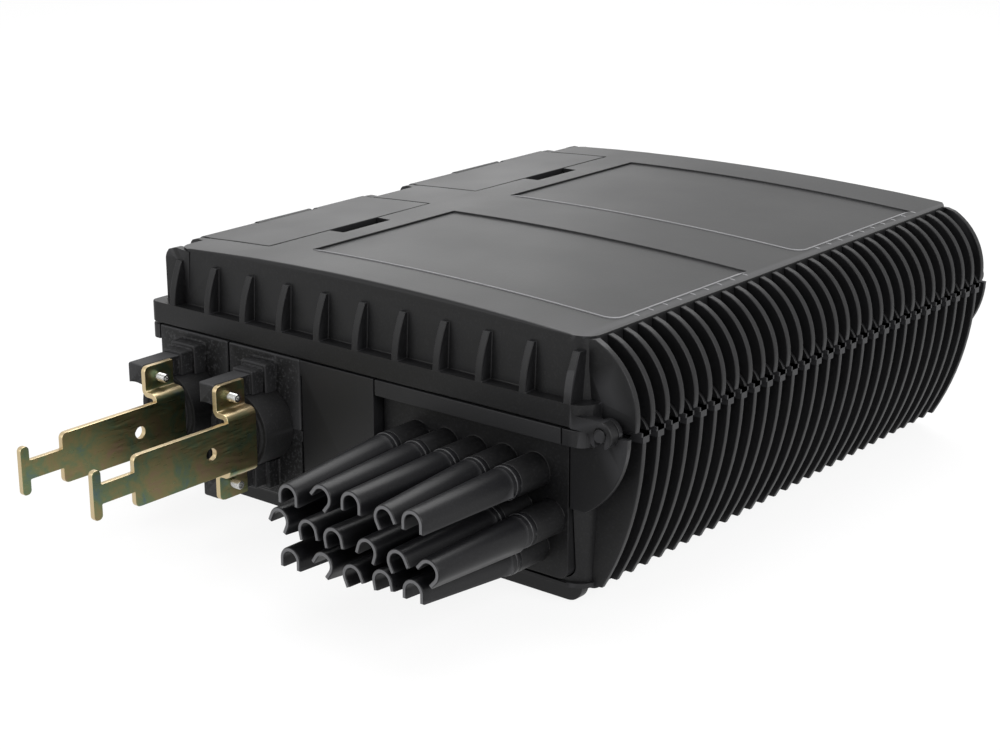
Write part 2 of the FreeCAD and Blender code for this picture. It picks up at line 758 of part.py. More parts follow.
    # Bores for the hinge and latch pins
    bore = new_sketch(body, "XZ_Plane", hook_end, circles=[(hinge_x, hinge_z, S.hinge_pin_radius + S.running_fit)])
    repeat(body, pocket(body, bore, S.hook_width), "Y_Axis", hook_step, 2)
    mouth_half = S.hinge_pin_radius - 3 * S.clearance / 2
    mouth = rectangle(hinge_x - mouth_half, hinge_x + mouth_half, hinge_z - 2 * S.hook_radius, hinge_z)
    repeat(body, pocket(body, new_sketch(body, "XZ_Plane", hook_end, [mouth]), S.hook_width), "Y_Axis", hook_step, 2)
    pins = new_sketch(body, "XZ_Plane", ears_end + 1, circles=[(pivot_x, pivot_z, S.pivot_pin_radius)])
    pocket(body, pins, 2 * ears_end + 2)

    # Recesses for the latch flaps and for the fingers that lift them
    sink = S.latch_plate + S.clearance
    inner = S.latch_inner - S.flap_gap
    recess = [
        (-2 * crown_half, crown_height(crown_half, sink)),
        (-crown_half, crown_height(crown_half, sink)),
        (-inner, crown_height(inner, sink), crown_radius - sink, -1),
        (-inner, above),
        (-2 * crown_half, above),
    ]
    flaps = new_sketch(body, "XZ_Plane", S.latch_near + S.latch_length + S.flap_gap, [recess])
    repeat(body, pocket(body, flaps, S.latch_length + 2 * S.flap_gap), "Y_Axis", latch_step, 2)
    slot = rectangle(-S.latch_inner - 1, S.finger_slot_width - S.latch_inner,
                     crown_height(S.latch_inner, S.finger_slot_depth), above)
    slots = new_sketch(body, "XZ_Plane", latch_middle + S.finger_slot_length / 2, [slot])
    repeat(body, pocket(body, slots, S.finger_slot_length), "Y_Axis", latch_step, 2)

    # Shallow panels in the top
    panel = [
        (-S.panel_left, crown_height(S.panel_left, S.panel_sink)),
        (S.panel_right, crown_height(S.panel_right, S.panel_sink), crown_radius - S.panel_sink, -1),
        (S.panel_right, above),
        (-S.panel_left, above),
    ]
    for start, length in ((S.panel_front, S.panel_front - S.panel_front_end),
                          (-S.panel_rear, S.panel_rear_end - S.panel_rear)):
        pocket(body, new_sketch(body, "XZ_Plane", start, [panel]), length)

    # Groove for the seal, and gaps in the rim for the latch hooks
    pocket(body, new_sketch(body, "XY_Plane", lid_low, seal_ring()), S.seal_depth, flip=True)
    gap = rectangle(-latch_middle - S.link_width / 2 - 1, -latch_middle + S.link_width / 2 + 1,
                    lid_low - 1, lid_low + S.lid_rim + 1)
    gaps = new_sketch(body, "YZ_Plane", -S.wall_half_x - S.catch_depth, [gap])
    repeat(body, pocket(body, gaps, S.rim_left + 1), "Y_Axis", latch_step, 2)
    return keep("lid_cover", body)


def lid_gasket():
    """Rubber seal in the lid's groove, which stands on the tub's rim."""
    body = new_body("lid_gasket")
    pad(body, new_sketch(body, "XY_Plane", split, seal_ring()), S.seam + S.seal_depth)
    return keep("lid_gasket", body)


def latch_lever(label, low_y):
    """Long flap, flush with the crowned top, that turns about the pins in the lid's ears."""
    body = new_body(label)
    flap = [
        (-S.latch_inner, crown_height(S.latch_inner, S.latch_plate), crown_radius - S.latch_plate, -1),
        (-S.latch_inner, crown_height(S.latch_inner, 0)),
        (-crown_half, lid_edge, crown_radius, 1),
        (pivot_x, pivot_z + S.latch_barrel),
        (pivot_x - S.latch_barrel, pivot_z, S.latch_barrel, 1),
        (pivot_x, pivot_z - S.latch_barrel, S.latch_barrel, 1),
        (pivot_x + S.latch_barrel, pivot_z, S.latch_barrel, 1),
        (-crown_half, crown_height(crown_half, S.latch_plate)),
    ]
    pad(body, new_sketch(body, "XZ_Plane", -low_y, [flap]), S.latch_length, flip=True)
    middle = low_y + S.latch_length / 2
    bore = [(pivot_x, pivot_z, S.pivot_pin_radius + S.running_fit)]
    pocket(body, new_sketch(body, "XZ_Plane", -low_y, circles=bore), S.pivot_pin_reach)
    pocket(body, new_sketch(body, "XZ_Plane", -low_y - S.latch_length, circles=bore), S.pivot_pin_reach, flip=True)
    notch = rectangle(2 * pivot_x, link_x + S.link_eye + S.clearance, pivot_z - 2 * S.latch_barrel, above)
    pocket(body, new_sketch(body, "XZ_Plane", S.link_notch / 2 - middle, [notch]), S.link_notch)
    reach = S.link_notch / 2 + S.link_pin_grip
    pin = [(link_x, link_z, S.link_pin_radius)]
    pocket(body, new_sketch(body, "XZ_Plane", reach - middle, circles=pin), 2 * reach)
    return keep(label, body)


def latch_link(label, middle):
    """Draw hook that hangs from the lever and reaches under the tub's rim."""
    body = new_body(label)
    left = link_x - S.link_eye
    right = left + S.link_plate
    foot = split - S.link_tail
    lean = S.link_eye - S.link_plate
    hook = [
        (left, foot),
        (right + S.link_lip, foot),
        (right + S.link_lip, foot + S.link_plate),
        (right, foot + 2 * S.link_plate),
        (right, link_z - (S.link_eye * S.link_eye - lean * lean).root()),
        (link_x + S.link_eye, link_z, S.link_eye, 1),
        (link_x, link_z + S.link_eye, S.link_eye, 1),
        (left, link_z, S.link_eye, 1),
    ]
    front = S.link_width / 2 - middle
    pad(body, new_sketch(body, "XZ_Plane", front, [hook]), S.link_width, flip=True)
    bore = new_sketch(body, "XZ_Plane", front, circles=[(link_x, link_z, S.link_pin_radius + S.running_fit)])
    pocket(body, bore, S.link_width)
    return keep(label, body)


def latches():
    """Both draw latches with their links and pins."""
    pivots = []
    for name, low_y in (("front", -S.latch_near - S.latch_length), ("rear", S.latch_near)):
        middle = low_y + S.latch_length / 2
        latch_lever(f"latch_lever_{name}", low_y)
        latch_link(f"latch_link_{name}", middle)
        reach = S.link_notch / 2 + S.link_pin_grip
        keep(f"latch_link_pin_{name}",
             drum("link_pin", "Y", (link_x, middle - reach, link_z), S.link_pin_radius, 2 * reach))
        length = S.ear_width + S.pivot_pin_reach
        for start in (low_y - S.flap_gap - S.ear_width, low_y + S.latch_length + S.flap_gap + S.ear_width - length):
            pivots.append(drum("pivot_pin", "Y", (pivot_x, start, pivot_z), S.pivot_pin_radius, length))
    keep("latch_pivot_pins", group("pivot_pins", pivots))


def cable_port(number, centre):
    """Split main port: plate, neck through the wall, bracket ears, and the grommet between the halves."""
    half = S.port_plate_width / 2
    face = -rim_front
    back = -S.wall_half_y - S.clearance
    inner = S.port_neck_depth - S.wall_half_y
    parts = [
        block("plate", (centre - half, face, S.port_plate_foot), (centre + half, back, split)),
        block("neck", (centre - S.port_neck_half, back, S.port_neck_foot), (centre + S.port_neck_half, inner, split)),
        block("tooth", (centre + half, face, S.port_height - S.tooth_height), (centre + half + S.tooth, back, S.port_height)),
    ]
    screw_y = face - S.bracket_start - S.tab_length / 2
    holes = []
    for side in (-1, 1):
        middle = S.port_height + side * S.ear_span
        low, high = middle - S.ear_block_height / 2, middle + S.ear_block_height / 2
        for width, reach, rise in ((S.ear_block_width, S.ear_block_reach, 0), (S.ear_step_width, S.ear_step_reach, S.ear_step_rise),
                                   (S.ear_root_width, S.ear_root_reach, S.ear_root_rise)):
            parts.append(block("ear", (centre - width / 2, face - reach, low - rise), (centre + width / 2, back, high + rise)))
        holes.append(drum("screw_hole", "X", (centre - S.ear_root_width, screw_y, middle),
                          S.screw_radius + S.clearance / 3, 2 * S.ear_root_width))
    saddle = drum("saddle", "Y", (centre, face - S.ear_block_reach - 1, S.port_height),
                  S.grommet_radius + S.clearance, S.ear_block_reach + 1)
    bore = drum("bore", "Y", (centre, face - 1, S.port_height), S.grommet_neck + S.clearance / 3, inner - face + 2)
    module = cut("port_module", fuse("port_solid", parts), [saddle, bore] + holes)
    low_corner = (centre - 2 * half, face - 2 * S.ear_block_reach, 0)
    for name, low_z, high_z in (("lower", Size.of(0), S.port_height), ("upper", S.port_height, above)):
        part = block("half", low_corner[:2] + (low_z,), (centre + 2 * half, inner + 1, high_z))
        keep(f"cable_port_{number}_{name}", common("port_half", module, part))
    flange = drum("flange", "Y", (centre, face - S.grommet_reach, S.port_height), S.grommet_radius, S.grommet_reach)
    sleeve = drum("sleeve", "Y", (centre, face - 1, S.port_height), S.grommet_neck, inner - face + 1)
    hole = drum("cable_hole", "Y", (centre, face - S.grommet_reach - 1, S.port_height),
                S.cable_radius, inner - face + S.grommet_reach + 2)
    keep(f"cable_grommet_{number}", cut("grommet", fuse("grommet_solid", [flange, sleeve]), [hole]))


def cable_bracket(number, centre):
    """Bent steel strip: two tabs on the port's ears, a joggle to the blade beside the cable, and a T end."""
    tab = centre + S.ear_block_width / 2
    blade = centre + S.blade_offset
    tall = S.ear_span + S.ear_block_height / 2
    half = S.blade_height / 2
    outer, inner = S.bend_radius + S.sheet / 2, S.bend_radius - S.sheet / 2
    high = half + 2 * S.bend_radius
    near, far = tab + outer, blade - inner
    bend = [
        (tab, tall),
        (tab, high),
        (near, half + inner, outer, 1),
        (far, half + inner),
        (blade, half, inner, -1),
        (blade, -half),
        (far, -half - inner, inner, -1),
        (near, -half - inner),
        (tab, -high, outer, 1),
        (tab, -tall),
        (tab + S.sheet, -tall),
        (tab + S.sheet, -high),
        (near, -half - outer, inner, -1),
        (far, -half - outer),
        (blade + S.sheet, -half, outer, 1),
        (blade + S.sheet, half),
        (far, half + outer, outer, 1),
        (near, half + outer),
        (tab + S.sheet, high, inner, -1),
        (tab + S.sheet, tall),
    ]
    rear = -rim_front - S.bracket_start
    front = -rim_front - S.blade_reach - S.neck_length - S.tee_length
    folded = new_body("bracket_bend")
    raised = [(x, S.port_height + z, *rest) for x, z, *rest in bend]
    pad(folded, new_sketch(folded, "XZ_Plane", -rear, [raised]), rear - front)

    tab_end = rear - S.tab_length
    blade_end = -rim_front - S.blade_reach
    neck_end = blade_end - S.neck_length
    neck, tee, r, t = S.neck_height / 2, S.tee_height / 2, S.tab_radius, S.tee_radius
    flat = [
        (tab_end + r, -tall, r, 1),
        (rear, -tall),
        (rear, tall),
        (tab_end + r, tall),
        (tab_end, tall - r, r, 1),
        (tab_end, half),
        (blade_end + r, half),
        (blade_end, half - r, r, 1),
        (blade_end, neck),
        (neck_end, neck),
        (neck_end, tee - t),
        (neck_end - t, tee, t, 1),
        (front + t, tee),
        (front, tee - t, t, 1),
        (front, t - tee),
        (front + t, -tee, t, 1),
        (neck_end - t, -tee),
        (neck_end, t - tee, t, 1),
        (neck_end, -neck),
        (blade_end, -neck),
        (blade_end, r - half),
        (blade_end + r, -half, r, 1),
        (tab_end, -half),
        (tab_end, r - tall),
    ]
    raised = [(y, S.port_height + z, *rest) for y, z, *rest in flat]
    screw_y = rear - S.tab_length / 2
    holes = [(-rim_front - S.tie_hole_reach, S.port_height, S.tie_hole_radius)]
    holes += [(screw_y, S.port_height + side * S.ear_span, S.screw_radius + S.clearance / 3) for side in (-1, 1)]
    strip = new_body("bracket_strip")
    pad(strip, new_sketch(strip, "YZ_Plane", centre, [raised], holes), 2 * S.blade_offset)
    keep(f"cable_bracket_{number}", common("bracket", folded, strip))

    screws = []
    left = centre - S.ear_block_width / 2 - S.screw_head
    for side in (-1, 1):
        foot = (left, screw_y, S.port_height + side * S.ear_span)
        shank = S.screw_head + S.ear_block_width + S.sheet + S.screw_tip
        screws.append(fuse("screw", [
            drum("screw_head", "X", foot, S.screw_head_radius, S.screw_head),
            drum("screw_shank", "X", foot, S.screw_radius, shank),
        ]))
    return screws


def main_ports():
    screws = []
    for number, side in ((1, -1), (2, 1)):
        centre = side * S.port_pitch / 2 - S.port_centre
        cable_port(number, centre)
        screws += cable_bracket(number, centre)
    keep("bracket_screws", group("screws", screws))


def drop_places():
    """Number, place, turn and bend of each drop plug, row by row from the top."""
    number = 0
    heights = (S.drop_centre_z + S.drop_pitch_z, S.drop_centre_z, S.drop_centre_z - S.drop_pitch_low)
    for height, plugs in zip(heights, PLUG_ROWS):
        for column, bent in enumerate(plugs):
            number += 1
            x = S.drop_centre_x + (column - (len(plugs) - 1) / 2) * S.drop_pitch_x
            yield number, x, height, *bent


def drop_port_block():
    """Front block with the tubes for the drop cable plugs."""
    body = new_body("drop_port_block")
    plate = cradle(S.drop_left, S.drop_right, S.drop_foot, split, S.drop_corner)
    pad(body, new_sketch(body, "XZ_Plane", S.wall_half_y, [plate]), S.drop_plate, flip=True)
    band = rectangle(S.drop_left, S.drop_right, split - S.base_rim, split)
    pad(body, new_sketch(body, "XZ_Plane", rim_front, [band]), S.rim_end, flip=True)
    mouth = S.wall_half_y + S.tube_reach

    def circles(radius):
        return [(x, z, radius) for _, x, z, *_ in drop_places()]

    pad(body, new_sketch(body, "XZ_Plane", mouth, circles=circles(S.tube_radius)), S.tube_reach, flip=True)
    bores = new_sketch(body, "XZ_Plane", mouth, circles=circles(S.plug_radius + S.clearance / 3))
    pocket(body, bores, S.tube_reach + S.drop_plate)
    return keep("drop_port_block", body)


def trough_section(radius, shift=(0.0, 0.0)):
    """Arch with straight legs, the section of a plug's trough, moved across by the shift."""
    inner = radius - S.trough_wall
    path = [
        (-radius, -S.trough_leg),
        (-inner, -S.trough_leg),
        (-inner, 0),
        (0, inner, inner, -1),
        (inner, 0, inner, -1),
        (inner, -S.trough_leg),
        (radius, -S.trough_leg),
        (radius, 0),
        (0, radius, radius, 1),
        (-radius, 0, radius, 1),
    ]
    return [(x + Size.of(shift[0]), z + Size.of(shift[1]), *rest) for x, z, *rest in path]


def drop_plug(number, x, z, turn, side, lift):
    """Blind plug with a tapered cable trough, open on its under side before it is turned."""
    body = new_body(f"drop_plug_{number:02}")
    root = 2 * S.plug_collar
    profile = [
        (0, S.plug_shank),
        (0, -root),
        (S.trough_root, -root),
        (S.trough_root, -S.plug_collar),
        (S.tube_radius, -S.plug_collar),
        (S.tube_radius, 0),
        (S.plug_radius, 0),
        (S.plug_radius, S.plug_shank),
    ]
    sketch = new_sketch(body, "XY_Plane", 0, [profile])
    turned = body.newObject("PartDesign::Revolution", "turned")
    turned.Profile = sketch
    turned.ReferenceAxis = (sketch, ["V_Axis"])
    near = new_sketch(body, "XZ_Plane", root, [trough_section(S.trough_root)])
    cos, sin = math.cos(math.radians(turn)), math.sin(math.radians(turn))
    shift = (side * cos - lift * sin, side * sin + lift * cos)
    far = new_sketch(body, "XZ_Plane", S.plug_collar + S.trough_length, [trough_section(S.trough_end, shift)])
    loft(body, "AdditiveLoft", (near, far))
    body.Placement = FreeCAD.Placement(FreeCAD.Vector(), FreeCAD.Rotation(FreeCAD.Vector(0, 1, 0), turn))
    bind(body, Placement__Base__x=x, Placement__Base__y=-S.wall_half_y - S.tube_reach, Placement__Base__z=z)
    return keep(f"drop_plug_{number:02}", body)


deck_top = floor_top + S.deck_lift + S.deck_plate


def fibre_deck():
    """Plate on the floor bosses with two round guides for spare fibre."""
    plate = block("deck_plate", (-S.deck_half_x, S.deck_front, deck_top - S.deck_plate), (S.deck_half_x, S.deck_rear, deck_top))
    middle = (S.tray_front + S.tray_rear) / 2
    guides = []
    for side in (-1, 1):
        foot = (side * S.deck_half_x / 2, middle, deck_top - S.deck_plate)
        height = S.deck_plate + S.guide_height
        guides.append(cut("guide", drum("guide_outer", "Z", foot, S.guide_radius, height),
                          [drum("guide_inner", "Z", foot, S.guide_radius - S.guide_wall, 2 * height)]))
    return keep("fibre_deck", fuse("deck", [plate] + guides))


def tray_base(index):
    return S.tray_first + index * S.tray_pitch


def tray_pin_height(index):
    return tray_base(index) + S.tray_height / 2


def tray_holder():
    """Foot with two posts, which carry the tray pins at the rear."""
    rear = S.tray_rear + 2 * S.tray_pin_back
    front = S.tray_rear + S.clearance
    wide = S.post_inset + S.post_width / 2
    parts = [block("holder_foot", (-wide, front, deck_top), (wide, rear, deck_top + S.floor))]
    for side in (-1, 1):
        centre = side * S.post_inset
        parts.append(block("post", (centre - S.post_width / 2, front, deck_top),
                           (centre + S.post_width / 2, rear, tray_base(3) - S.deck_plate)))
    holes = [drum("pin_hole", "X", (-2 * wide, S.tray_rear + S.tray_pin_back, tray_pin_height(index)),
                  S.tray_pin_radius + S.clearance / 3, 4 * wide) for index in range(3)]
    return keep("tray_holder", cut("holder", fuse("holder_solid", parts), holes))


def splice_tray(index):
    """Open tray with two lugs and pins at the rear."""
    low, high = tray_base(index), tray_base(index) + S.tray_height
    dish = cut("dish", block("tray_outer", (-S.tray_half_x, S.tray_front, low), (S.tray_half_x, S.tray_rear, high)),
               [block("tray_inner", (S.tray_wall - S.tray_half_x, S.tray_front + S.tray_wall, low + S.tray_wall),
                      (S.tray_half_x - S.tray_wall, S.tray_rear - S.tray_wall, high + 1))])
    parts = [dish]
    for side in (-1, 1):
        near = S.post_inset + S.post_width / 2 + S.clearance
        ends = sorted((side * near, side * (near + S.tray_lug)), key=lambda size: size.value)
        parts.append(block("lug", (ends[0], S.tray_rear - S.tray_wall, low), (ends[1], S.tray_rear + 2 * S.tray_pin_back, high)))
        start = near + 1 if side < 0 else near - S.post_width
        parts.append(drum("tray_pin", "X", (side * start, S.tray_rear + S.tray_pin_back, tray_pin_height(index)),
                          S.tray_pin_radius, S.post_width + 1))
    return keep(f"splice_tray_{index + 1}", fuse("tray", parts))


def splice_combs():
    """Rubber holders with a groove for each splice, one in each tray."""
    combs = []
    for index in range(3):
        body = new_body("splice_comb")
        half = S.comb_length / 2
        middle = (S.tray_front + S.tray_rear) / 2
        plan = rectangle(-half, half, middle - S.comb_width / 2, middle + S.comb_width / 2)
        low = tray_base(index) + S.tray_wall
        pad(body, new_sketch(body, "XY_Plane", low, [plan]), S.comb_height)
        edge = S.comb_pitch - half
        groove = rectangle(edge - S.comb_groove / 2, edge + S.comb_groove / 2,
                           middle - S.comb_width, middle + S.comb_width)
        line = pocket(body, new_sketch(body, "XY_Plane", low + S.comb_height, [groove]), S.comb_groove)
        repeat(body, line, "X_Axis", 11 * S.comb_pitch, 12)
        combs.append(body)
    return keep("splice_combs", group("combs", combs))


def tray_cover():
    """Clear sheet on the top tray."""
    low = tray_base(2) + S.tray_height
    return keep("tray_cover", block("cover", (-S.tray_half_x, S.tray_front, low), (S.tray_half_x, S.tray_rear, low + S.cover_plate)))


def splitter_module():
    """Flat optical splitter box on the deck."""
    body = new_body("splitter_module")
    left = S.patch_margin - S.deck_half_x
    front = S.deck_front + S.patch_margin
    plan = rounded(left, left + S.splitter_length, front, front + S.splitter_width, S.wall)
    pad(body, new_sketch(body, "XY_Plane", deck_top, [plan]), S.splitter_height)
    return keep("splitter_module", body)


def patch_windows(width, height):
    """Outlines of the adapters, two rows of eight."""
    windows = []
    for row in (-0.5, 0.5):
        for column in range(8):
            x = S.patch_centre_x + (column - 3.5) * S.patch_pitch_x
            z = S.patch_centre_z + row * S.patch_pitch_z
            windows.append(rectangle(x - width / 2, x + width / 2, z - height / 2, z + height / 2))
    return windows


def patch_panel():
    """Upright panel on the deck with its adapters and dust caps."""
    body = new_body("adapter_panel")
    half = 4 * S.patch_pitch_x + S.patch_margin
    top = S.patch_centre_z + S.patch_pitch_z / 2 + S.adapter_height / 2 + S.patch_margin
    plate = rectangle(S.patch_centre_x - half, S.patch_centre_x + half, deck_top, top)
    pad(body, new_sketch(body, "XZ_Plane", -S.patch_y, [plate]), S.patch_plate, flip=True)
    foot = rectangle(S.patch_centre_x - half, S.patch_centre_x + half, S.patch_y, S.patch_y + S.patch_foot)
    pad(body, new_sketch(body, "XY_Plane", deck_top, [foot]), S.patch_plate)
    windows = patch_windows(S.adapter_width, S.adapter_height)
    pocket(body, new_sketch(body, "XZ_Plane", -S.patch_y, windows), S.patch_plate)
    keep("adapter_panel", body)

    adapters = new_body("adapters")
    front = (S.adapter_length - S.patch_plate) / 2 - S.patch_y
    pad(adapters, new_sketch(adapters, "XZ_Plane", front, windows), S.adapter_length, flip=True)
    flanges = patch_windows(S.adapter_width + 1, S.adapter_flange_height)
    pad(adapters, new_sketch(adapters, "XZ_Plane", S.adapter_flange - S.patch_y, flanges), S.adapter_flange, flip=True)
    keep("adapters", adapters)

    caps = new_body("adapter_caps")
    faces = patch_windows(S.adapter_width - S.cap_inset, S.adapter_height - S.cap_inset)
    pad(caps, new_sketch(caps, "XZ_Plane", front + S.cap_length, faces), S.cap_length, flip=True)
    keep("adapter_caps", caps)


def cable_clamps():
    """Saddles, straps and screws that anchor the main cables behind their ports."""
    screws = []
    for number, side in ((1, -1), (2, 1)):
        centre = side * S.port_pitch / 2 - S.port_centre
        half = S.clamp_width / 2
        middle = S.clamp_back - S.wall_half_y
        front, rear = middle - S.clamp_depth / 2, middle + S.clamp_depth / 2
        length = 2 * S.clamp_depth
        cable = (centre, middle - S.clamp_depth, S.port_height)
        spots = [centre + end * (half + S.cable_radius) / 2 for end in (-1, 1)]
        low = S.port_height - S.clamp_depth / 2
        holes = [drum("screw_hole", "Z", (x, middle, low), S.clamp_screw_radius, 2 * S.clamp_depth) for x in spots]
        post = block("post", (centre - half, front, floor_top), (centre + half, rear, S.port_height))
        keep(f"cable_clamp_{number}", cut("clamp", post, [drum("groove", "Y", cable, S.cable_radius, length)] + holes))
        arch = drum("arch", "Y", (centre, front, S.port_height), S.cable_radius + S.clamp_strap, S.clamp_depth)
        wing = block("wing", (centre - half, front, S.port_height), (centre + half, rear, S.port_height + S.clamp_strap))
        under = block("under", (centre - half, front - 1, 0), (centre + half, rear + 1, S.port_height))
        tools = [under, drum("groove", "Y", cable, S.cable_radius, length)]
        tools += [drum("screw_hole", "Z", (x, middle, low), S.clamp_screw_radius, 2 * S.clamp_depth) for x in spots]
        keep(f"clamp_strap_{number}", cut("strap", fuse("strap_solid", [arch, wing]), tools))
        reach = S.clamp_depth / 2 + 2 * S.clamp_strap
        screws += [drum("clamp_screw", "Z", (x, middle, low), S.clamp_screw_radius, reach) for x in spots]
    keep("clamp_screws", group("strap_screws", screws))


def mount_inserts():
    """Threaded brass inserts in the underside bosses."""
    body = new_body("mount_inserts")
    corners = [(a * S.mount_half_x, b * S.mount_half_y) for a in (-1, 1) for b in (-1, 1)]
    rings = [(x, y, radius) for x, y in corners for radius in (S.mount_insert_radius, S.mount_thread_radius)]
    pad(body, new_sketch(body, "XY_Plane", 0, circles=rings), S.mount_depth)
    return keep("mount_inserts", body)


base_housing()
lid_cover()
lid_gasket()
latches()
main_ports()
drop_port_block()
for place in drop_places():
    drop_plug(*place)
fibre_deck()
tray_holder()
for level in range(3):
    splice_tray(level)
splice_combs()
tray_cover()
splitter_module()
patch_panel()
cable_clamps()
mount_inserts()


def finish():
    """Checks every object and writes one file for each piece."""
    doc.recompute()
    for item in doc.Objects:
        if "Invalid" in item.State or "Error" in item.State:
            raise RuntimeError(f"{item.Name} failed: {item.State}")
    os.makedirs("parts", exist_ok=True)
    for item in PARTS:
        shape = item.Shape
        if shape.isNull() or not shape.isValid():
            raise RuntimeError(f"{item.Label} has no valid shape")
        shape.exportStep(os.path.join("parts", item.Label + ".step"))


finish()
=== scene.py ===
"""Looks of a fibre splice closure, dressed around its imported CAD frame.

The frame brings every solid at its real size and place. This script rounds the moulded and pressed
edges, makes finer surfaces for the plugs, grommets and screws, adds the heads of the hinge fins and
the beads of the lid's panels, and gives each piece its finish.
"""

from __future__ import annotations

import json
import logging
import math
from dataclasses import dataclass
from enum import Enum
from itertools import product
from typing import Any

import bmesh
import bpy
import numpy as np
from bpy.types import Material, Mesh, Node, NodeTree, Object
from mathutils import Matrix, Vector

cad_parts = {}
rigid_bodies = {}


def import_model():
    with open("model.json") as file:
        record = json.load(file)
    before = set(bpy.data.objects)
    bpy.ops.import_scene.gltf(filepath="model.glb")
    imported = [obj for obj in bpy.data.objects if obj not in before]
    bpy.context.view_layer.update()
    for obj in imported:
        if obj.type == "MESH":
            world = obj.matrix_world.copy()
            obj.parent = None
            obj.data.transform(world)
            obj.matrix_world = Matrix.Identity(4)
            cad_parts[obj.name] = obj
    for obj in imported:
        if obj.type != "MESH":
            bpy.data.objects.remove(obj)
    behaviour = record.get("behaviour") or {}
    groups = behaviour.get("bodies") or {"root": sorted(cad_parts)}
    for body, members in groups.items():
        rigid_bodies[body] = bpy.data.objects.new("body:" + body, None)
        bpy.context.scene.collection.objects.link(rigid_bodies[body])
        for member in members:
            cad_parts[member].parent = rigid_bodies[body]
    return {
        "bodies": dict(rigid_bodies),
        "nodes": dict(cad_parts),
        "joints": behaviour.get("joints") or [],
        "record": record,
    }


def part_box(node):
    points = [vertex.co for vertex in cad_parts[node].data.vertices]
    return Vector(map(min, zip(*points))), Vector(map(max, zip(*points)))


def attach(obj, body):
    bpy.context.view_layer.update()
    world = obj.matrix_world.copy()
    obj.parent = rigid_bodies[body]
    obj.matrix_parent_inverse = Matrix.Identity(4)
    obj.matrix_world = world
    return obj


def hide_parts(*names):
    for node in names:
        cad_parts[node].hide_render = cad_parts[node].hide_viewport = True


LOG = logging.getLogger("splice_closure")
MM = 0.001
IMAGE_WIDTH = 1000

# Joining and rounding of meshes, in metres, square metres and radians.
MERGE_DISTANCE = 2e-6
FLAT_ANGLE = math.radians(0.6)
SMOOTH_ANGLE = math.radians(42)
CORNER_ANGLE = math.radians(30)
EDGES_AT_CORNER = 6
ROOM_SHARE = 0.42
ROOM_PLACES = (0.1, 0.5, 0.9)
ROOM_SLACK = 1e-6
LEAST_ROOM = 1e-7
CURVE_STEPS = 4
CURVE_SHARE = 0.4
HEAL_ROUNDS = 6
HEAL_REACH = 1.5
FOLD_COSINE = -0.75
SHORTEST_FOLD = 2e-4
SMALLEST_FOLD = 1e-8
TINY = 1e-12
NO_AREA = 1e-30

# Measures of the CAD's lid and fins that more than one piece follows.
LID_CROWN = 4.0 * MM
LID_HALF_X = 115.8 * MM
FIN_PITCH = 297.4 / 30 * MM

# Where most of a noise's values lie.
NOISE_SPAN = (0.3, 0.7)

ALONG_X = np.array([1.0, 0.0, 0.0])
ALONG_Y = np.array([0.0, 1.0, 0.0])
UPWARDS = np.array([0.0, 0.0, 1.0])

Array = np.ndarray
Grid = tuple[Array, Array]
Output = tuple[Node, Any]
Span = tuple[float, float]
Spot = tuple[float, float, float]


class Body(Enum):
    """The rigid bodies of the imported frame."""

    BASE = "base"
    LID = "lid"
    LEVER_FRONT = "lever_front"
    LEVER_REAR = "lever_rear"
    LINK_FRONT = "link_front"
    LINK_REAR = "link_rear"


def linear(code: str) -> tuple[float, float, float, float]:
    """Turns an sRGB hex value to linear colour.

    Args:
        code: six hex digits, with or without a leading hash.

    Returns:
        Linear red, green, blue and an alpha of 1.
    """
    values = [int(code.lstrip("#")[k:k + 2], 16) / 255 for k in (0, 2, 4)]
    red, green, blue = (v / 12.92 if v <= 0.04045 else ((v + 0.055) / 1.055) ** 2.4 for v in values)
    return red, green, blue, 1.0


def add_node(
    tree: NodeTree,
    kind: str,
    settings: dict[Any, Any] | None = None,
    links: dict[Any, Output] | None = None,
) -> Node:
    """Adds one shader node with its settings and links.

    Args:
        tree: the material's or the world's node tree.
        kind: Blender's name of the node type, less its leading ShaderNode.
        settings: values of the node's properties, or of its input sockets by name or number.
        links: for an input socket, the node and output socket that feed it.

    Returns:
        The new node.
    """
    node = tree.nodes.new(f"ShaderNode{kind}")
    for name, value in (settings or {}).items():
        if isinstance(name, str) and name in node.bl_rna.properties:
            setattr(node, name, value)
        else:
            node.inputs[name].default_value = value
    for name, (source, socket) in (links or {}).items():
        tree.links.new(source.outputs[socket], node.inputs[name])
    return node


def largest(tree: NodeTree, one: Output, other: Output) -> Output:
    """Gives the larger one of two outputs at each place."""
    return add_node(tree, "Math", {"operation": "MAXIMUM"}, {0: one, 1: other}), 0


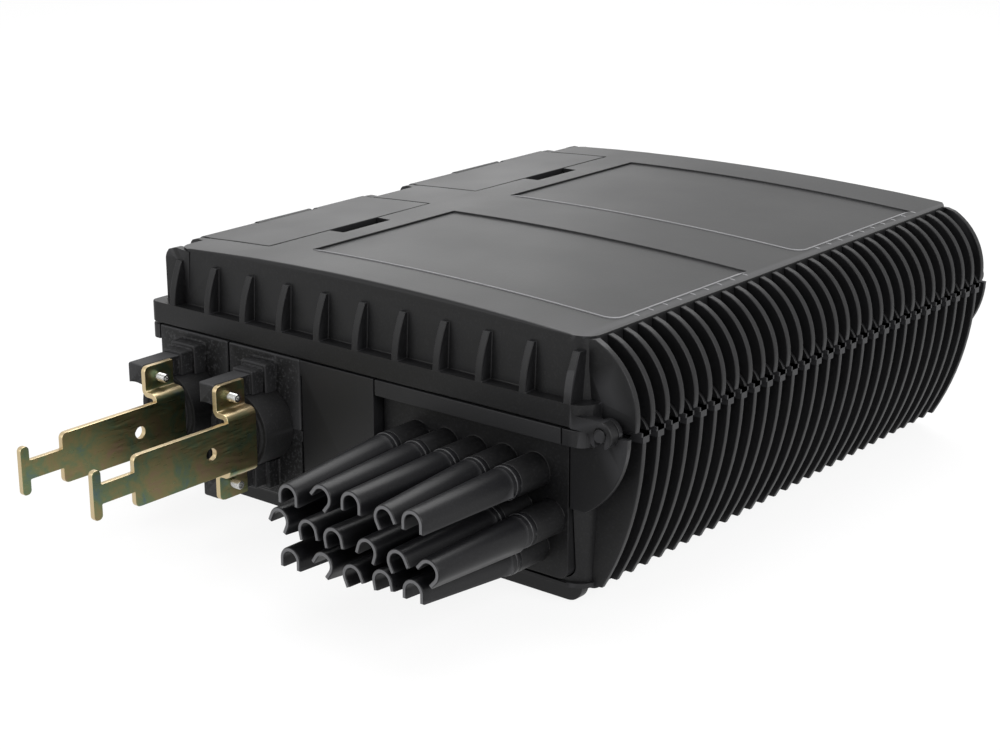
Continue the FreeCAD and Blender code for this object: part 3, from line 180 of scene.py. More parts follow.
class Recipe:
    """A material in the making, with Object coordinates in millimetres."""

    def __init__(self, name: str) -> None:
        """Makes a material with an empty tree.

        Args:
            name: the material's name.
        """
        self.material = bpy.data.materials.new(name)
        self.material.use_nodes = True
        self.tree = self.material.node_tree
        self.tree.nodes.clear()
        place = add_node(self.tree, "TexCoord")
        settings = {"Scale": (1 / MM, 1 / MM, 1 / MM)}
        self.place = add_node(self.tree, "Mapping", settings, {"Vector": (place, "Object")}), 0

    def noise(self, size_mm: float, detail: float = 2.0) -> Output:
        """Adds a noise with a pattern of the given size."""
        settings = {"Scale": 1 / size_mm, "Detail": detail}
        return add_node(self.tree, "TexNoise", settings, {"Vector": self.place}), "Fac"

    def remap(self, source: Output, span: Span, result: Span) -> Output:
        """Maps a span of values to another one, and holds them at its ends."""
        settings = {1: span[0], 2: span[1], 3: result[0], 4: result[1]}
        return add_node(self.tree, "MapRange", settings, {0: source}), 0

    def mix(self, share: Output, low: str | Output, high: str) -> Output:
        """Mixes two colours.

        Args:
            share: how much of the second colour shows.
            low: the first colour, as a hex value or an output.
            high: the second colour's hex value.

        Returns:
            The mixed colour.
        """
        settings: dict[Any, Any] = {"data_type": "RGBA", 7: linear(high)}
        links = {0: share}
        if isinstance(low, str):
            settings[6] = linear(low)
        else:
            links[6] = low
        return add_node(self.tree, "Mix", settings, links), 2

    def bump(self, height: Output, strength: float, depth_mm: float) -> Output:
        """Makes a pattern stand out by the given depth."""
        settings = {"Strength": strength, "Distance": depth_mm * MM}
        return add_node(self.tree, "Bump", settings, {"Height": height}), 0

    def facing(self, axis: str) -> Output:
        """Gives the part of the surface's normal along one of the piece's own axes."""
        normal = add_node(self.tree, "TexCoord"), "Normal"
        return add_node(self.tree, "SeparateXYZ", links={0: normal}), axis

    def surface(self, settings: dict[str, Any], links: dict[str, Output]) -> Material:
        """Ends the tree with a Principled shader, and gives the finished material."""
        shader = add_node(self.tree, "BsdfPrincipled", settings, links)
        add_node(self.tree, "OutputMaterial", links={"Surface": (shader, 0)})
        return self.material


@dataclass(frozen=True)
class MouldedPlastic:
    """Injection moulded plastic or rubber with a spark-eroded grain.

    The mould's grain breaks up the gloss, and melt flow leaves faint cloudy patches. The edges, and
    on some parts the faces at the front, are a little paler: a painted highlight.
    """

    name: str
    colour: str
    cloud: str
    # Colour of the grain's specks, and of the painted highlights on edges and front faces.
    edge: str
    roughness: float
    grain_mm: float
    grain_height_mm: float
    flow_mm: float = 55.0
    flow_detail: float = 3.0
    ior: float = 1.30
    speckle: float = 0.15
    speck_span: Span = (0.5, 0.72)
    highlight_from: float = 0.52
    highlight_band: float = 0.12
    edge_highlight: float = 0.55
    front_highlight: float = 0.0
    front_span: Span = (-0.7, -0.95)
    glossier: float = 0.02
    duller: float = 0.03
    relief: float = 0.5

    def material(self) -> Material:
        """Builds the material: grain as bump, melt flow as patches, and painted highlights on the
        edges.
        """
        recipe = Recipe(self.name)
        flow = recipe.noise(self.flow_mm, self.flow_detail)
        patches = recipe.mix(flow, self.colour, self.cloud)
        # Pointiness picks out the edges, which get the edge colour as a painted highlight.
        bend = add_node(recipe.tree, "NewGeometry"), "Pointiness"
        highlight_span = self.highlight_from, self.highlight_from + self.highlight_band
        ridge = recipe.remap(bend, highlight_span, (0.0, self.edge_highlight))
        # The real grain is finer than a pixel, so it is drawn as coarse as it needs to show.
        grain = recipe.noise(self.grain_mm)
        specks = recipe.remap(grain, self.speck_span, (0.0, self.speckle))
        pale = largest(recipe.tree, ridge, specks)
        # Faces that look to the front are painted paler: a painted highlight.
        if self.front_highlight:
            front = recipe.remap(recipe.facing("Y"), self.front_span, (0.0, self.front_highlight))
            pale = largest(recipe.tree, pale, front)
        gloss_span = self.roughness - self.glossier, self.roughness + self.duller
        return recipe.surface({"IOR": self.ior}, {
            "Base Color": recipe.mix(pale, patches, self.edge),
            "Roughness": recipe.remap(flow, NOISE_SPAN, gloss_span),
            "Normal": recipe.bump(grain, self.relief, self.grain_height_mm)})


@dataclass(frozen=True)
class PassivatedZinc:
    """Rolled steel sheet, zinc plated and yellow passivated.

    The thin chromate film turns from straw to green, rose and blue-grey where its thickness
    changes, is thin and pale on the cut edges, the bends get the same pale colour as a painted
    highlight, and fine rolling lines run along the strip.
    """

    name: str
    slate: str
    green: str
    straw: str
    rose: str
    # Colour of the cut edges, and of the bends as a painted highlight.
    edge: str
    film_mm: float
    line_mm: float
    line_length_mm: float
    roughness: float
    stops: tuple[float, float, float, float] = (0.30, 0.42, 0.54, 0.70)
    film_detail: float = 5.0
    film_roughness: float = 0.7
    film_warp: float = 0.4
    cut_and_bend_span: Span = (0.95, 0.6)
    cut_wear_and_bend_highlight: float = 0.85
    line_detail: float = 3.0
    line_depth_mm: float = 0.02
    glossier: float = 0.06
    duller: float = 0.1
    relief: float = 0.15

    def film(self, recipe: Recipe) -> Output:
        """Adds the film's colours, which a warped noise picks."""
        film = add_node(recipe.tree, "TexNoise", {
            "Scale": 1 / self.film_mm, "Detail": self.film_detail,
            "Roughness": self.film_roughness, "Distortion": self.film_warp},
            {"Vector": recipe.place})
        ramp = add_node(recipe.tree, "ValToRGB", links={"Fac": (film, "Fac")})
        first, second, third, last = self.stops
        marks = ramp.color_ramp.elements
        marks[0].position, marks[0].color = first, linear(self.slate)
        marks[1].position, marks[1].color = last, linear(self.rose)
        marks.new(second).color = linear(self.green)
        marks.new(third).color = linear(self.straw)
        return ramp, 0

    def material(self) -> Material:
        """Builds the material: film colours, pale cut edges, pale bends as a painted highlight, and
        rolling lines along Y.
        """
        recipe = Recipe(self.name)
        # The strips' flat faces look along X, so the cut edges are the faces that don't. The bends
        # don't either, so they come out pale too, as a painted highlight.
        flat = add_node(recipe.tree, "Math", {"operation": "ABSOLUTE"}, {0: recipe.facing("X")})
        cut_and_bend = recipe.remap((flat, 0), self.cut_and_bend_span, (0.0, self.cut_wear_and_bend_highlight))
        stretch = add_node(recipe.tree, "Mapping", {
            "Scale": (1 / self.line_mm, 1 / self.line_length_mm, 1 / self.line_mm)},
            {"Vector": recipe.place})
        lines = add_node(recipe.tree, "TexNoise", {
            "Scale": 1.0, "Detail": self.line_detail}, {"Vector": (stretch, 0)}), "Fac"
        gloss_span = self.roughness - self.glossier, self.roughness + self.duller
        return recipe.surface({"Metallic": 1.0}, {
            "Base Color": recipe.mix(cut_and_bend, self.film(recipe), self.edge),
            "Roughness": recipe.remap(lines, NOISE_SPAN, gloss_span),
            "Normal": recipe.bump(lines, self.relief, self.line_depth_mm)})


@dataclass(frozen=True)
class TurnedMetal:
    """Turned steel or brass: a bright metal with fine tool marks and slightly dull patches."""

    name: str
    colour: str
    dull: str
    roughness: float
    mark_mm: float
    mark_depth_mm: float = 0.02
    relief: float = 0.25

    def material(self) -> Material:
        """Builds the material: dull patches from a noise, and tool marks as bump."""
        recipe = Recipe(self.name)
        marks = recipe.noise(self.mark_mm)
        return recipe.surface({"Metallic": 1.0, "Roughness": self.roughness}, {
            "Base Color": recipe.mix(marks, self.colour, self.dull),
            "Normal": recipe.bump(marks, self.relief, self.mark_depth_mm)})


@dataclass(frozen=True)
class ClearSheet:
    """Extruded polycarbonate sheet: clear, a little blue, with faint waves in its gloss."""

    name: str
    tint: str
    wave_mm: float
    wave_depth_mm: float = 0.1
    relief: float = 0.1
    roughness: float = 0.05
    ior: float = 1.585
    clear: float = 0.9

    def material(self) -> Material:
        """Builds the material: a transmitting shader with a slow ripple as bump."""
        recipe = Recipe(self.name)
        wave = recipe.noise(self.wave_mm)
        return recipe.surface({
            "Base Color": linear(self.tint), "Roughness": self.roughness, "IOR": self.ior,
            "Transmission Weight": self.clear},
            {"Normal": recipe.bump(wave, self.relief, self.wave_depth_mm)})


Finish = MouldedPlastic | PassivatedZinc | TurnedMetal | ClearSheet

HOUSING = MouldedPlastic("grained_black_abs", "#0e0e0f", "#131314", "#343436", 0.42, 0.9, 0.05)
# The beads' pale grey is a painted highlight: the bright line along the panels' edges.
BEAD = MouldedPlastic("bead_highlight_grey_abs", "#6e6e70", "#757577", "#8c8c8e", 0.25, 0.9, 0.01)
PORT = MouldedPlastic(
    "coarse_black_abs", "#0c0c0d", "#101011", "#444446", 0.55, 1.0, 0.16, speckle=0.5)
# The plugs' paler edges and front faces are painted highlights.
PLUG = MouldedPlastic(
    "satin_black_polypropylene", "#0c0c0e", "#111113", "#5c5c5e", 0.38, 0.7, 0.02,
    speckle=0.04, highlight_from=0.57, front_highlight=0.9)
BLOCK = MouldedPlastic(
    "matt_black_polypropylene", "#09090a", "#0d0d0e", "#3c3c3e", 0.48, 0.9, 0.05)
RUBBER = MouldedPlastic(
    "black_epdm_rubber", "#0d0d0e", "#111112", "#303031", 0.62, 0.9, 0.06, speckle=0.3)
TRAY = MouldedPlastic("pale_grey_abs", "#d4d5d2", "#dcdddb", "#e6e6e4", 0.45, 0.8, 0.02, ior=1.53)
GREY = MouldedPlastic("grey_abs", "#6a6e72", "#72767a", "#84888b", 0.48, 0.8, 0.03, ior=1.53)
GREEN = MouldedPlastic("green_pbt", "#1f7a3a", "#248642", "#3c9a58", 0.35, 0.7, 0.01, ior=1.55)
CAP = MouldedPlastic(
    "white_polyethylene", "#e4e4df", "#ecece8", "#f2f2f0", 0.40, 0.7, 0.01, ior=1.51)
ZINC = PassivatedZinc(
    "yellow_passivated_zinc", "#60736f", "#6d7b5c", "#857d58", "#8c7460", "#c8b490",
    14.0, 0.35, 9.0, 0.33)
STEEL = TurnedMetal("bright_zinc_steel", "#d2d2d0", "#a8a8a6", 0.24, 0.6)
BRASS = TurnedMetal("turned_brass", "#cfa75a", "#b08a42", 0.28, 0.6)
CLEAR = ClearSheet("clear_polycarbonate", "#eef4f6", 40.0)


@dataclass
class Workshop:
    """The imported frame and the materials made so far."""

    frame: dict[str, Any]
    materials: dict[str, Material]

    def material(self, finish: Finish) -> Material:
        """Gives a finish's material, made once."""
        if finish.name not in self.materials:
            self.materials[finish.name] = finish.material()
        return self.materials[finish.name]

    def paint(self, node: str, finish: Finish) -> None:
        """Puts a finish on a CAD node that shows as it is."""
        slots = self.frame["nodes"][node].data.materials
        slots.clear()
        slots.append(self.material(finish))

    def fit(
        self, piece: Object, body: Body, slot: str, finish: Finish, *nodes: str
    ) -> None:
        """Dresses a new piece and ties it to the frame.

        Args:
            piece: the new object, in place.
            body: the body that it rides on.
            slot: the record's material slot; not used.
            finish: the piece's finish.
            nodes: the CAD nodes that it stands for.
        """
        piece.data.materials.clear()
        piece.data.materials.append(self.material(finish))
        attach(piece, body.value)
        if nodes:
            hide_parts(*nodes)
        LOG.info("%s rides on %s with %s", piece.name, body.value, finish.name)


def grid_faces(rows: int, columns: int, closed: bool) -> Array:
    """Quads of a grid of points that is stored row by row.

    Args:
        rows: number of rows.
        columns: number of points in a row.
        closed: whether each row runs round to its first point.

    Returns:
        One row of four point numbers for each quad.
    """
    steps = columns if closed else columns - 1
    row, column = np.meshgrid(np.arange(rows - 1), np.arange(steps), indexing="ij")
    here, following = row * columns, (column + 1) % columns
    above = here + columns
    corners = here + column, here + following, above + following, above + column
    return np.stack(corners, axis=-1).reshape(-1, 4)


def new_piece(name: str, parts: list[Grid]) -> Object:
    """Joins grids of points and quads to one smooth object at the origin.

    Args:
        name: the piece's name.
        parts: points in metres and quads of each grid.

    Returns:
        The new object, with doubles merged and faces pointing outwards.
    """
    offsets = np.cumsum([0] + [len(points) for points, _ in parts[:-1]])
    points = np.concatenate([points for points, _ in parts])
    faces = np.concatenate([quads + offset for (_, quads), offset in zip(parts, offsets)])
    mesh = bpy.data.meshes.new(name)
    mesh.from_pydata(points.tolist(), [], faces.tolist())
    shape = bmesh.new()
    shape.from_mesh(mesh)
    bmesh.ops.remove_doubles(shape, verts=shape.verts, dist=MERGE_DISTANCE)
    bmesh.ops.dissolve_degenerate(shape, edges=shape.edges, dist=MERGE_DISTANCE)
    bmesh.ops.recalc_face_normals(shape, faces=shape.faces)
    shape.to_mesh(mesh)
    shape.free()
    mesh.shade_smooth()
    mesh.set_sharp_from_angle(angle=SMOOTH_ANGLE)
    piece = bpy.data.objects.new(name, mesh)
    bpy.context.scene.collection.objects.link(piece)
    return piece


def lathe(profile: Array, centre: Array, axis: Array, segments: int) -> Grid:
    """Turns a profile about a level axis.

    A point (r, h) of the profile at an angle a lies at centre + h axis + r (cos a side + sin a up).

    Args:
        profile: radius and height of each point, in metres.
        centre: a point on the axis.
        axis: the axis's unit vector.
        segments: number of steps round the axis.

    Returns:
        Points and quads.
    """
    side = np.cross(axis, UPWARDS)
    up = np.cross(axis, side)
    angle = np.linspace(0, 2 * np.pi, segments, endpoint=False)
    ring = np.cos(angle)[:, None] * side + np.sin(angle)[:, None] * up
    points = centre + profile[:, 1, None, None] * axis + profile[:, 0, None, None] * ring[None]
    return points.reshape(-1, 3), grid_faces(len(profile), segments, True)


def rounded_profile(corners: list[tuple[float, float]], radius: float) -> Array:
    """Rounds the inner corners of an open profile with quadratic curves.

    Each corner becomes the curve between two points at a distance radius from it along its edges.

    Args:
        corners: the profile's points.
        radius: distance from a corner at which its curve starts and ends.

    Returns:
        The rounded profile's points.
    """
    spots = np.asarray(corners, float)
    before, here, after = spots[:-2], spots[1:-1], spots[2:]

    def towards(other: Array) -> Array:
        """Points on the edges to the neighbours, at most a share of the way along."""
        run = other - here
        length = np.linalg.norm(run, axis=1, keepdims=True)
        return here + run * np.minimum(radius / length, CURVE_SHARE)

    start, end = towards(before)[:, None], towards(after)[:, None]
    t = np.linspace(0, 1, CURVE_STEPS)[None, :, None]
    curve = (1 - t) ** 2 * start + 2 * t * (1 - t) * here[:, None] + t ** 2 * end
    return np.concatenate([spots[:1], curve.reshape(-1, 2), spots[-1:]])


def read_all(items: Any, name: str, kind: type, width: int = 1) -> Array:
    """Reads one attribute of all of a mesh's items.

    Args:
        items: the mesh's points, edges, corners or faces.
        name: Blender's name of the attribute.
        kind: the type of its values.
        width: number of values of each item.

    Returns:
        One value for each item, or one row of values where there are several.
    """
    values = np.empty((len(items), width), kind)
    items.foreach_get(name, values.reshape(-1))
    return values if width > 1 else values[:, 0]


def face_room(corners: Array, normal: Array) -> Array:
    """Measures how far a flat face reaches from each of its sides.

    From a few places of a side, a line runs into the face at a right angle to that side. The room
    is the shortest distance t at which start + t inward meets another side, corner + s run with s
    from 0 to 1.

    Args:
        corners: the face's points in order.
        normal: the face's unit normal.

    Returns:
        The room beside each side.
    """
    run = np.roll(corners, -1, axis=0) - corners
    inward = np.cross(normal, run)
    inward /= np.maximum(np.linalg.norm(inward, axis=1, keepdims=True), TINY)
    facing = np.cross(inward[:, None], run[None]) @ normal
    open_way = np.abs(facing) > TINY
    facing = np.where(open_way, facing, 1.0)
    room = np.full(len(corners), np.inf)
    for share in ROOM_PLACES:
        gap = corners[None] - (corners + share * run)[:, None]
        reach = np.cross(gap, run[None]) @ normal / facing
        place = np.cross(gap, inward[:, None]) @ normal / facing
        inside = (place > -ROOM_SLACK) & (place < 1 + ROOM_SLACK)
        met = open_way & inside & (reach > LEAST_ROOM)
        room = np.minimum(room, np.where(met, reach, np.inf).min(axis=1))
    return room


def edge_widths(mesh: Mesh, sharp: Array, radius: Array) -> Array:
    """Gives each sharp edge the width of its rounding, as far as its neighbours leave room.

    The width is at most a share of the room on both faces, and where edges meet at a corner it is
    at most the same share of the other edge's length.

    Args:
        mesh: the solid with joined flat faces.
        sharp: whether each edge is sharp.
        radius: the width of each edge where there is room enough.

    Returns:
        The width of each edge, 0 on smooth ones.
    """
    points = read_all(mesh.vertices, "co", float, 3)
    ends = read_all(mesh.edges, "vertices", int, 2)
    spot = read_all(mesh.loops, "vertex_index", int)
    side = read_all(mesh.loops, "edge_index", int)
    width = np.where(sharp, radius, 0.0)
    for face in mesh.polygons:
        part = slice(face.loop_start, face.loop_start + face.loop_total)
        if sharp[side[part]].any():
            room = face_room(points[spot[part]], np.array(face.normal))
            np.minimum.at(width, side[part], ROOM_SHARE * room)
    way = points[ends[:, 1]] - points[ends[:, 0]]
    length = np.linalg.norm(way, axis=1)
    way /= np.maximum(length, TINY)[:, None]
    chosen = np.flatnonzero(sharp)
    corner, edge = ends[chosen].reshape(-1), np.repeat(chosen, 2)
    order = np.argsort(corner, kind="stable")
    corner, edge = corner[order], edge[order]
    for step in range(1, EDGES_AT_CORNER):
        same = np.flatnonzero(corner[step:] == corner[:-step])
        one, other = edge[same], edge[same + step]
        turned = np.abs(np.einsum("ij,ij->i", way[one], way[other])) < math.cos(CORNER_ANGLE)
        np.minimum.at(width, one[turned], ROOM_SHARE * length[other[turned]])
        np.minimum.at(width, other[turned], ROOM_SHARE * length[one[turned]])
    return width


def shade(mesh: Mesh, limit: float) -> None:
    """Shades a mesh so that flat faces look flat and curved ones smooth.

    A corner's normal is the sum of area times normal over the faces at its point that turn from its
    own face by less than the limit, scaled to a length of 1.

    Args:
        mesh: the mesh to shade.
        limit: the largest turn between two faces that are shaded as one.
    """
    total = read_all(mesh.polygons, "loop_total", int)
    area = read_all(mesh.polygons, "area", float)
    normal = read_all(mesh.polygons, "normal", float, 3)
    spot = read_all(mesh.loops, "vertex_index", int)
    order = np.argsort(spot, kind="stable")
    point, face = spot[order], np.repeat(np.arange(len(total)), total)[order]
    own = normal[face]
    weighed = own * area[face, None]
    mixed = weighed.copy()
    for step in range(1, int(np.bincount(spot).max())):
        here = np.flatnonzero(point[step:] == point[:-step])
        there = here + step
        alike = np.einsum("ij,ij->i", own[here], own[there]) > math.cos(limit)
        np.add.at(mixed, here[alike], weighed[there[alike]])
        np.add.at(mixed, there[alike], weighed[here[alike]])
    mixed /= np.maximum(np.linalg.norm(mixed, axis=1, keepdims=True), NO_AREA)
    corners = np.empty_like(mixed)
    corners[order] = mixed
    mesh.shade_smooth()
    mesh.normals_split_custom_set(corners.tolist())


def is_fold(edge: bmesh.types.BMEdge) -> bool:
    """Tells whether an edge's two faces turn back on themselves, and aren't just slivers."""
    faces = edge.link_faces
    return (
        len(faces) == 2 and faces[0].normal.dot(faces[1].normal) < FOLD_COSINE
        and edge.calc_length() > SHORTEST_FOLD
        and min(face.calc_area() for face in faces) > SMALLEST_FOLD)


def folded_places(piece: Object) -> Array:
    """Finds where a rounded piece's faces turn back on themselves.

    Args:
        piece: an object with its rounding modifier.

    Returns:
        The middle of each edge at which two faces meet with nearly opposite normals.
    """
    view = piece.evaluated_get(bpy.context.evaluated_depsgraph_get())
    shape = bmesh.new()
    shape.from_mesh(view.to_mesh())
    places = [(edge.verts[0].co + edge.verts[1].co) / 2 for edge in shape.edges if is_fold(edge)]
    shape.free()
    view.to_mesh_clear()
    return np.array(places)


@dataclass
class RoundedNode:
    """A CAD node's solid with its edges rounded, as the mould or the press leaves them."""

    node: str
    piece: str
    body: Body
    slot: str
    finish: Finish
    radius_mm: float
    segments: int = 2
    edge_angle: float = math.radians(38)

    def build(self, shop: Workshop) -> None:
        """Copies the solid, joins its flat faces, and makes the rounded piece that stands for it.

        Args:
            shop: the frame and the materials.
        """
        mesh = shop.frame["nodes"][self.node].data.copy()
        mesh.name = self.piece
        shape = bmesh.new()
        shape.from_mesh(mesh)
        bmesh.ops.remove_doubles(shape, verts=shape.verts, dist=MERGE_DISTANCE)
        self.prepare(shape)
        bmesh.ops.dissolve_limit(
            shape, angle_limit=FLAT_ANGLE, verts=shape.verts, edges=shape.edges)
        shape.to_mesh(mesh)
        shape.free()
        mesh.shade_smooth()
        mesh.set_sharp_from_angle(angle=self.edge_angle)
        radius = self.radii(mesh)
        width = edge_widths(mesh, read_all(mesh.edges, "use_edge_sharp", bool), radius)
        mesh.attributes.new("bevel_weight_edge", "FLOAT", "EDGE")
        piece = bpy.data.objects.new(self.piece, mesh)
        bpy.context.scene.collection.objects.link(piece)
        bevel = piece.modifiers.new("edge", "BEVEL")
        bevel.width = radius.max()
        bevel.segments = self.segments
        bevel.limit_method = "WEIGHT"
        bevel.use_clamp_overlap = False
        bevel.miter_outer = "MITER_ARC"
        self.heal(piece, width)
        view = piece.evaluated_get(bpy.context.evaluated_depsgraph_get())
        rounded = bpy.data.meshes.new_from_object(view)
        piece.modifiers.clear()
        piece.data = rounded
        rounded.name = self.piece
        shade(rounded, self.edge_angle)
        bpy.data.meshes.remove(mesh)
        shop.fit(piece, self.body, self.slot, self.finish, self.node)

    def prepare(self, shape: bmesh.types.BMesh) -> None:
        """Changes the solid before its edges are rounded. A plain node stays as it is."""

    def radii(self, mesh: Mesh) -> Array:
        """Gives the wanted radius of each edge, in metres."""
        return np.full(len(mesh.edges), self.radius_mm * MM)

    def heal(self, piece: Object, width: Array) -> None:
        """Sets the edges' widths, and leaves an edge sharp where its rounding would fold over.

        Args:
            piece: the object with its rounding modifier.
            width: the wanted width of each edge, in metres.
        """
        mesh = piece.data
        ends = read_all(mesh.edges, "vertices", int, 2)
        points = read_all(mesh.vertices, "co", float, 3)
        start, run = points[ends[:, 0]], points[ends[:, 1]] - points[ends[:, 0]]
        square = np.maximum(np.einsum("ij,ij->i", run, run), TINY)
        weights = mesh.attributes["bevel_weight_edge"].data
        for _ in range(HEAL_ROUNDS):
            weights.foreach_set("value", width / piece.modifiers["edge"].width)
            mesh.update()
            folds = folded_places(piece)
            LOG.info("%s has %d folds", piece.name, len(folds))
            if not len(folds):
                return
            for place in folds:
                share = np.einsum("ij,ij->i", place - start, run) / square
                foot = start + np.clip(share, 0, 1)[:, None] * run
                near = np.linalg.norm(foot - place, axis=1) < HEAL_REACH * self.radius_mm * MM
                width[near] = 0.0


@dataclass
class LidNode(RoundedNode):
    """The lid: its top edge goes over into the walls without a lip, with a wider rounding."""

    lip: float = 0.8 * MM
    half_y: float = 148.8 * MM
    corner: float = 9.0 * MM
    top_radius: float = 2.4 * MM
    touch: float = 0.01 * MM
    near: float = 0.05 * MM
    joined: float = 0.15 * MM

    def edge(self) -> float:
        """Height of the top's edge, below the crown."""
        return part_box(self.node)[1][2] - LID_CROWN

    def outside(self, x: float, y: float, inset: float) -> float:
        """Signed distance to the top's outline, inset by a distance, and positive outside it."""
        over_x = abs(x) - (LID_HALF_X - inset - self.corner)
        over_y = abs(y) - (self.half_y - inset - self.corner)
        beyond = math.hypot(max(over_x, 0.0), max(over_y, 0.0))
        return beyond + min(max(over_x, over_y), 0.0) - self.corner

    def prepare(self, shape: bmesh.types.BMesh) -> None:
        """Draws the lip back into the walls."""
        edge = self.edge()
        drawn = []
        for vertex in shape.verts:
            place = vertex.co
            outer = self.outside(place.x, place.y, 0.0) > -self.near
            if outer and place.z > edge - self.lip - self.near:
                for axis, half in enumerate((LID_HALF_X, self.half_y)):
                    if abs(place[axis]) > half - self.corner - self.touch:
                        place[axis] -= math.copysign(self.lip, place[axis])
            if abs(place.z - edge + self.lip) < self.near:
                drawn.append(vertex)
        bmesh.ops.remove_doubles(shape, verts=drawn, dist=self.joined)

    def radii(self, mesh: Mesh) -> Array:
        """Gives the top's outline a wider rounding than the other edges."""
        lowest = self.edge() - 2 * self.near
        upper = np.array([
            z > lowest and abs(self.outside(x, y, self.lip)) < self.joined
            for x, y, z in read_all(mesh.vertices, "co", float, 3)])
        ends = read_all(mesh.edges, "vertices", int, 2)
        return np.where(upper[ends].all(axis=1), self.top_radius, self.radius_mm * MM)


def block(low: Spot, high: Spot) -> Grid:
    """Points and quads of a box between two corners."""
    points = np.array(list(product(*zip(low, high))))
    quads = np.array([
        [0, 1, 3, 2], [4, 6, 7, 5], [0, 4, 5, 1], [2, 3, 7, 6], [0, 2, 6, 4], [1, 5, 7, 3]])
    return points, quads


@dataclass
class HingeRow:
    """Round ears and stepped heads on the tub's fins, in a row along the hinge."""

    fins: int = 29
    disc_x: float = 129.3 * MM
    disc_z: float = 76.8 * MM
    disc_radius: float = 6.5 * MM
    disc_front: float = 1.6 * MM
    disc_rear: float = 3.2 * MM
    rounding: float = 0.3 * MM
    segments: int = 40
    head_inner: float = 126.0 * MM
    head_outer: float = 136.6 * MM
    head_top: float = 78.1 * MM
    steps: tuple[Span, ...] = ((3.0 * MM, 1.7 * MM), (2.1 * MM, 4.4 * MM))

    def build(self, shop: Workshop) -> None:
        """Builds one ear and one stepped head on each inner fin."""
        profile = rounded_profile([
            (0.0, self.disc_front), (self.disc_radius, self.disc_front),
            (self.disc_radius, self.disc_rear), (0.0, self.disc_rear)], self.rounding)
        parts = []
        for number in range(self.fins):
            y = (number - (self.fins - 1) / 2) * FIN_PITCH
            centre = np.array([self.disc_x, y, self.disc_z])
            parts.append(lathe(profile, centre, ALONG_Y, self.segments))
            for side, depth in self.steps:
                low = self.head_inner, y - side, self.head_top - depth
                parts.append(block(low, (self.head_outer, y + side, self.head_top)))
        shop.fit(new_piece("hinge_fin_heads", parts), Body.BASE, "housing_plastic", HOUSING)


@dataclass
class PanelBeads:
    """Fine raised lines round the front and right edges of the lid's panels, with ticks beside;
    painted pale as a highlight.
    """

    radius: float = 0.42 * MM
    left: float = 56.0 * MM
    right: float = 108.4 * MM
    corner: float = 6.0 * MM
    spans: tuple[Span, ...] = ((-121.4 * MM, -25.0 * MM), (17.6 * MM, 120.0 * MM))
    tick_end: float = 112.2 * MM
    tick_points: int = 5
    front_points: int = 40
    turn_points: int = 9
    side_points: int = 13
    segments: int = 10

    def height(self, x: Array) -> Array:
        """Height of the crowned top at x: the edge's plus the crown times 1 - (x / half)²."""
        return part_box("lid_cover")[1][2] - LID_CROWN * (x / LID_HALF_X) ** 2

    def tick(self, y: float) -> Array:
        """Points of one short line from the panel's right edge towards the lid's."""
        x = np.linspace(self.right, self.tick_end, self.tick_points)
        return np.stack([x, np.full_like(x, y), self.height(x) - self.radius / 2], axis=-1)

    def path(self, front: float, rear: float) -> Array:
        """Points of one line: along the front edge, round the corner and back at the right edge.

        Args:
            front: the front edge's y.
            rear: where the line ends at the right.

        Returns:
            One row of x, y and z for each point.
        """
        middle_x, middle_y = self.right - self.corner, front + self.corner
        turn = np.linspace(-np.pi / 2, 0, self.turn_points)
        along = np.linspace(-self.left, middle_x, self.front_points)[:-1]
        back = np.linspace(middle_y, rear, self.side_points)[1:]
        x = np.concatenate([
            along, middle_x + self.corner * np.cos(turn), np.full_like(back, self.right)])
        y = np.concatenate([
            np.full_like(along, front), middle_y + self.corner * np.sin(turn), back])
        return np.stack([x, y, self.height(x)], axis=-1)

    def bead(self, spine: Array) -> Grid:
        """Sweeps a small circle along a line, and closes its ends to points."""
        run = np.gradient(spine, axis=0)
        run /= np.linalg.norm(run, axis=1, keepdims=True)
        side = np.cross(run, UPWARDS)
        side /= np.linalg.norm(side, axis=1, keepdims=True)
        up = np.cross(side, run)
        size = np.full(len(spine), self.radius)
        size[[0, -1]] = 0.0
        angle = np.linspace(0, 2 * np.pi, self.segments, endpoint=False)[None, :, None]
        ring = np.cos(angle) * side[:, None] + np.sin(angle) * up[:, None]
        points = spine[:, None] + size[:, None, None] * ring
        return points.reshape(-1, 3), grid_faces(len(spine), self.segments, True)

    def build(self, shop: Workshop) -> None:
        """Builds the lines and the ticks of both panels as one piece."""
        parts = [self.bead(self.path(front, rear)) for front, rear in self.spans]
        for front, rear in self.spans:
            places = np.arange(front + 2 * self.corner, rear, FIN_PITCH)
            parts += [self.bead(self.tick(y)) for y in places]
        shop.fit(new_piece("lid_panel_beads", parts), Body.LID, "housing_plastic", BEAD)


@dataclass(frozen=True)
class PlugPose:
    """How one plug sits: its turn about its axis, and how its soft trough's free end has bent."""

    turn_deg: float = 0.0
    side_mm: float = 0.0
    lift_mm: float = 0.0


# The poses of the plugs in each row, from the left.
PLUG_ROWS = (
    ((0, -2.5, -5.0), (40, 0, -1.0), (), (-28, 1.5, -1.5), ()),
    ((25, 0, 2.0), (-12, 0, 1.0), (-12, -2.0, 1.0), (18, 0, 1.0), (-28, 0, 0.5), (42, 0, 0.5)),
    ((0, -2.5), (35, 0, 3.0), (-25, 0, 2.0), (-12, 0, 4.0), (0, 0, 4.0)),
)


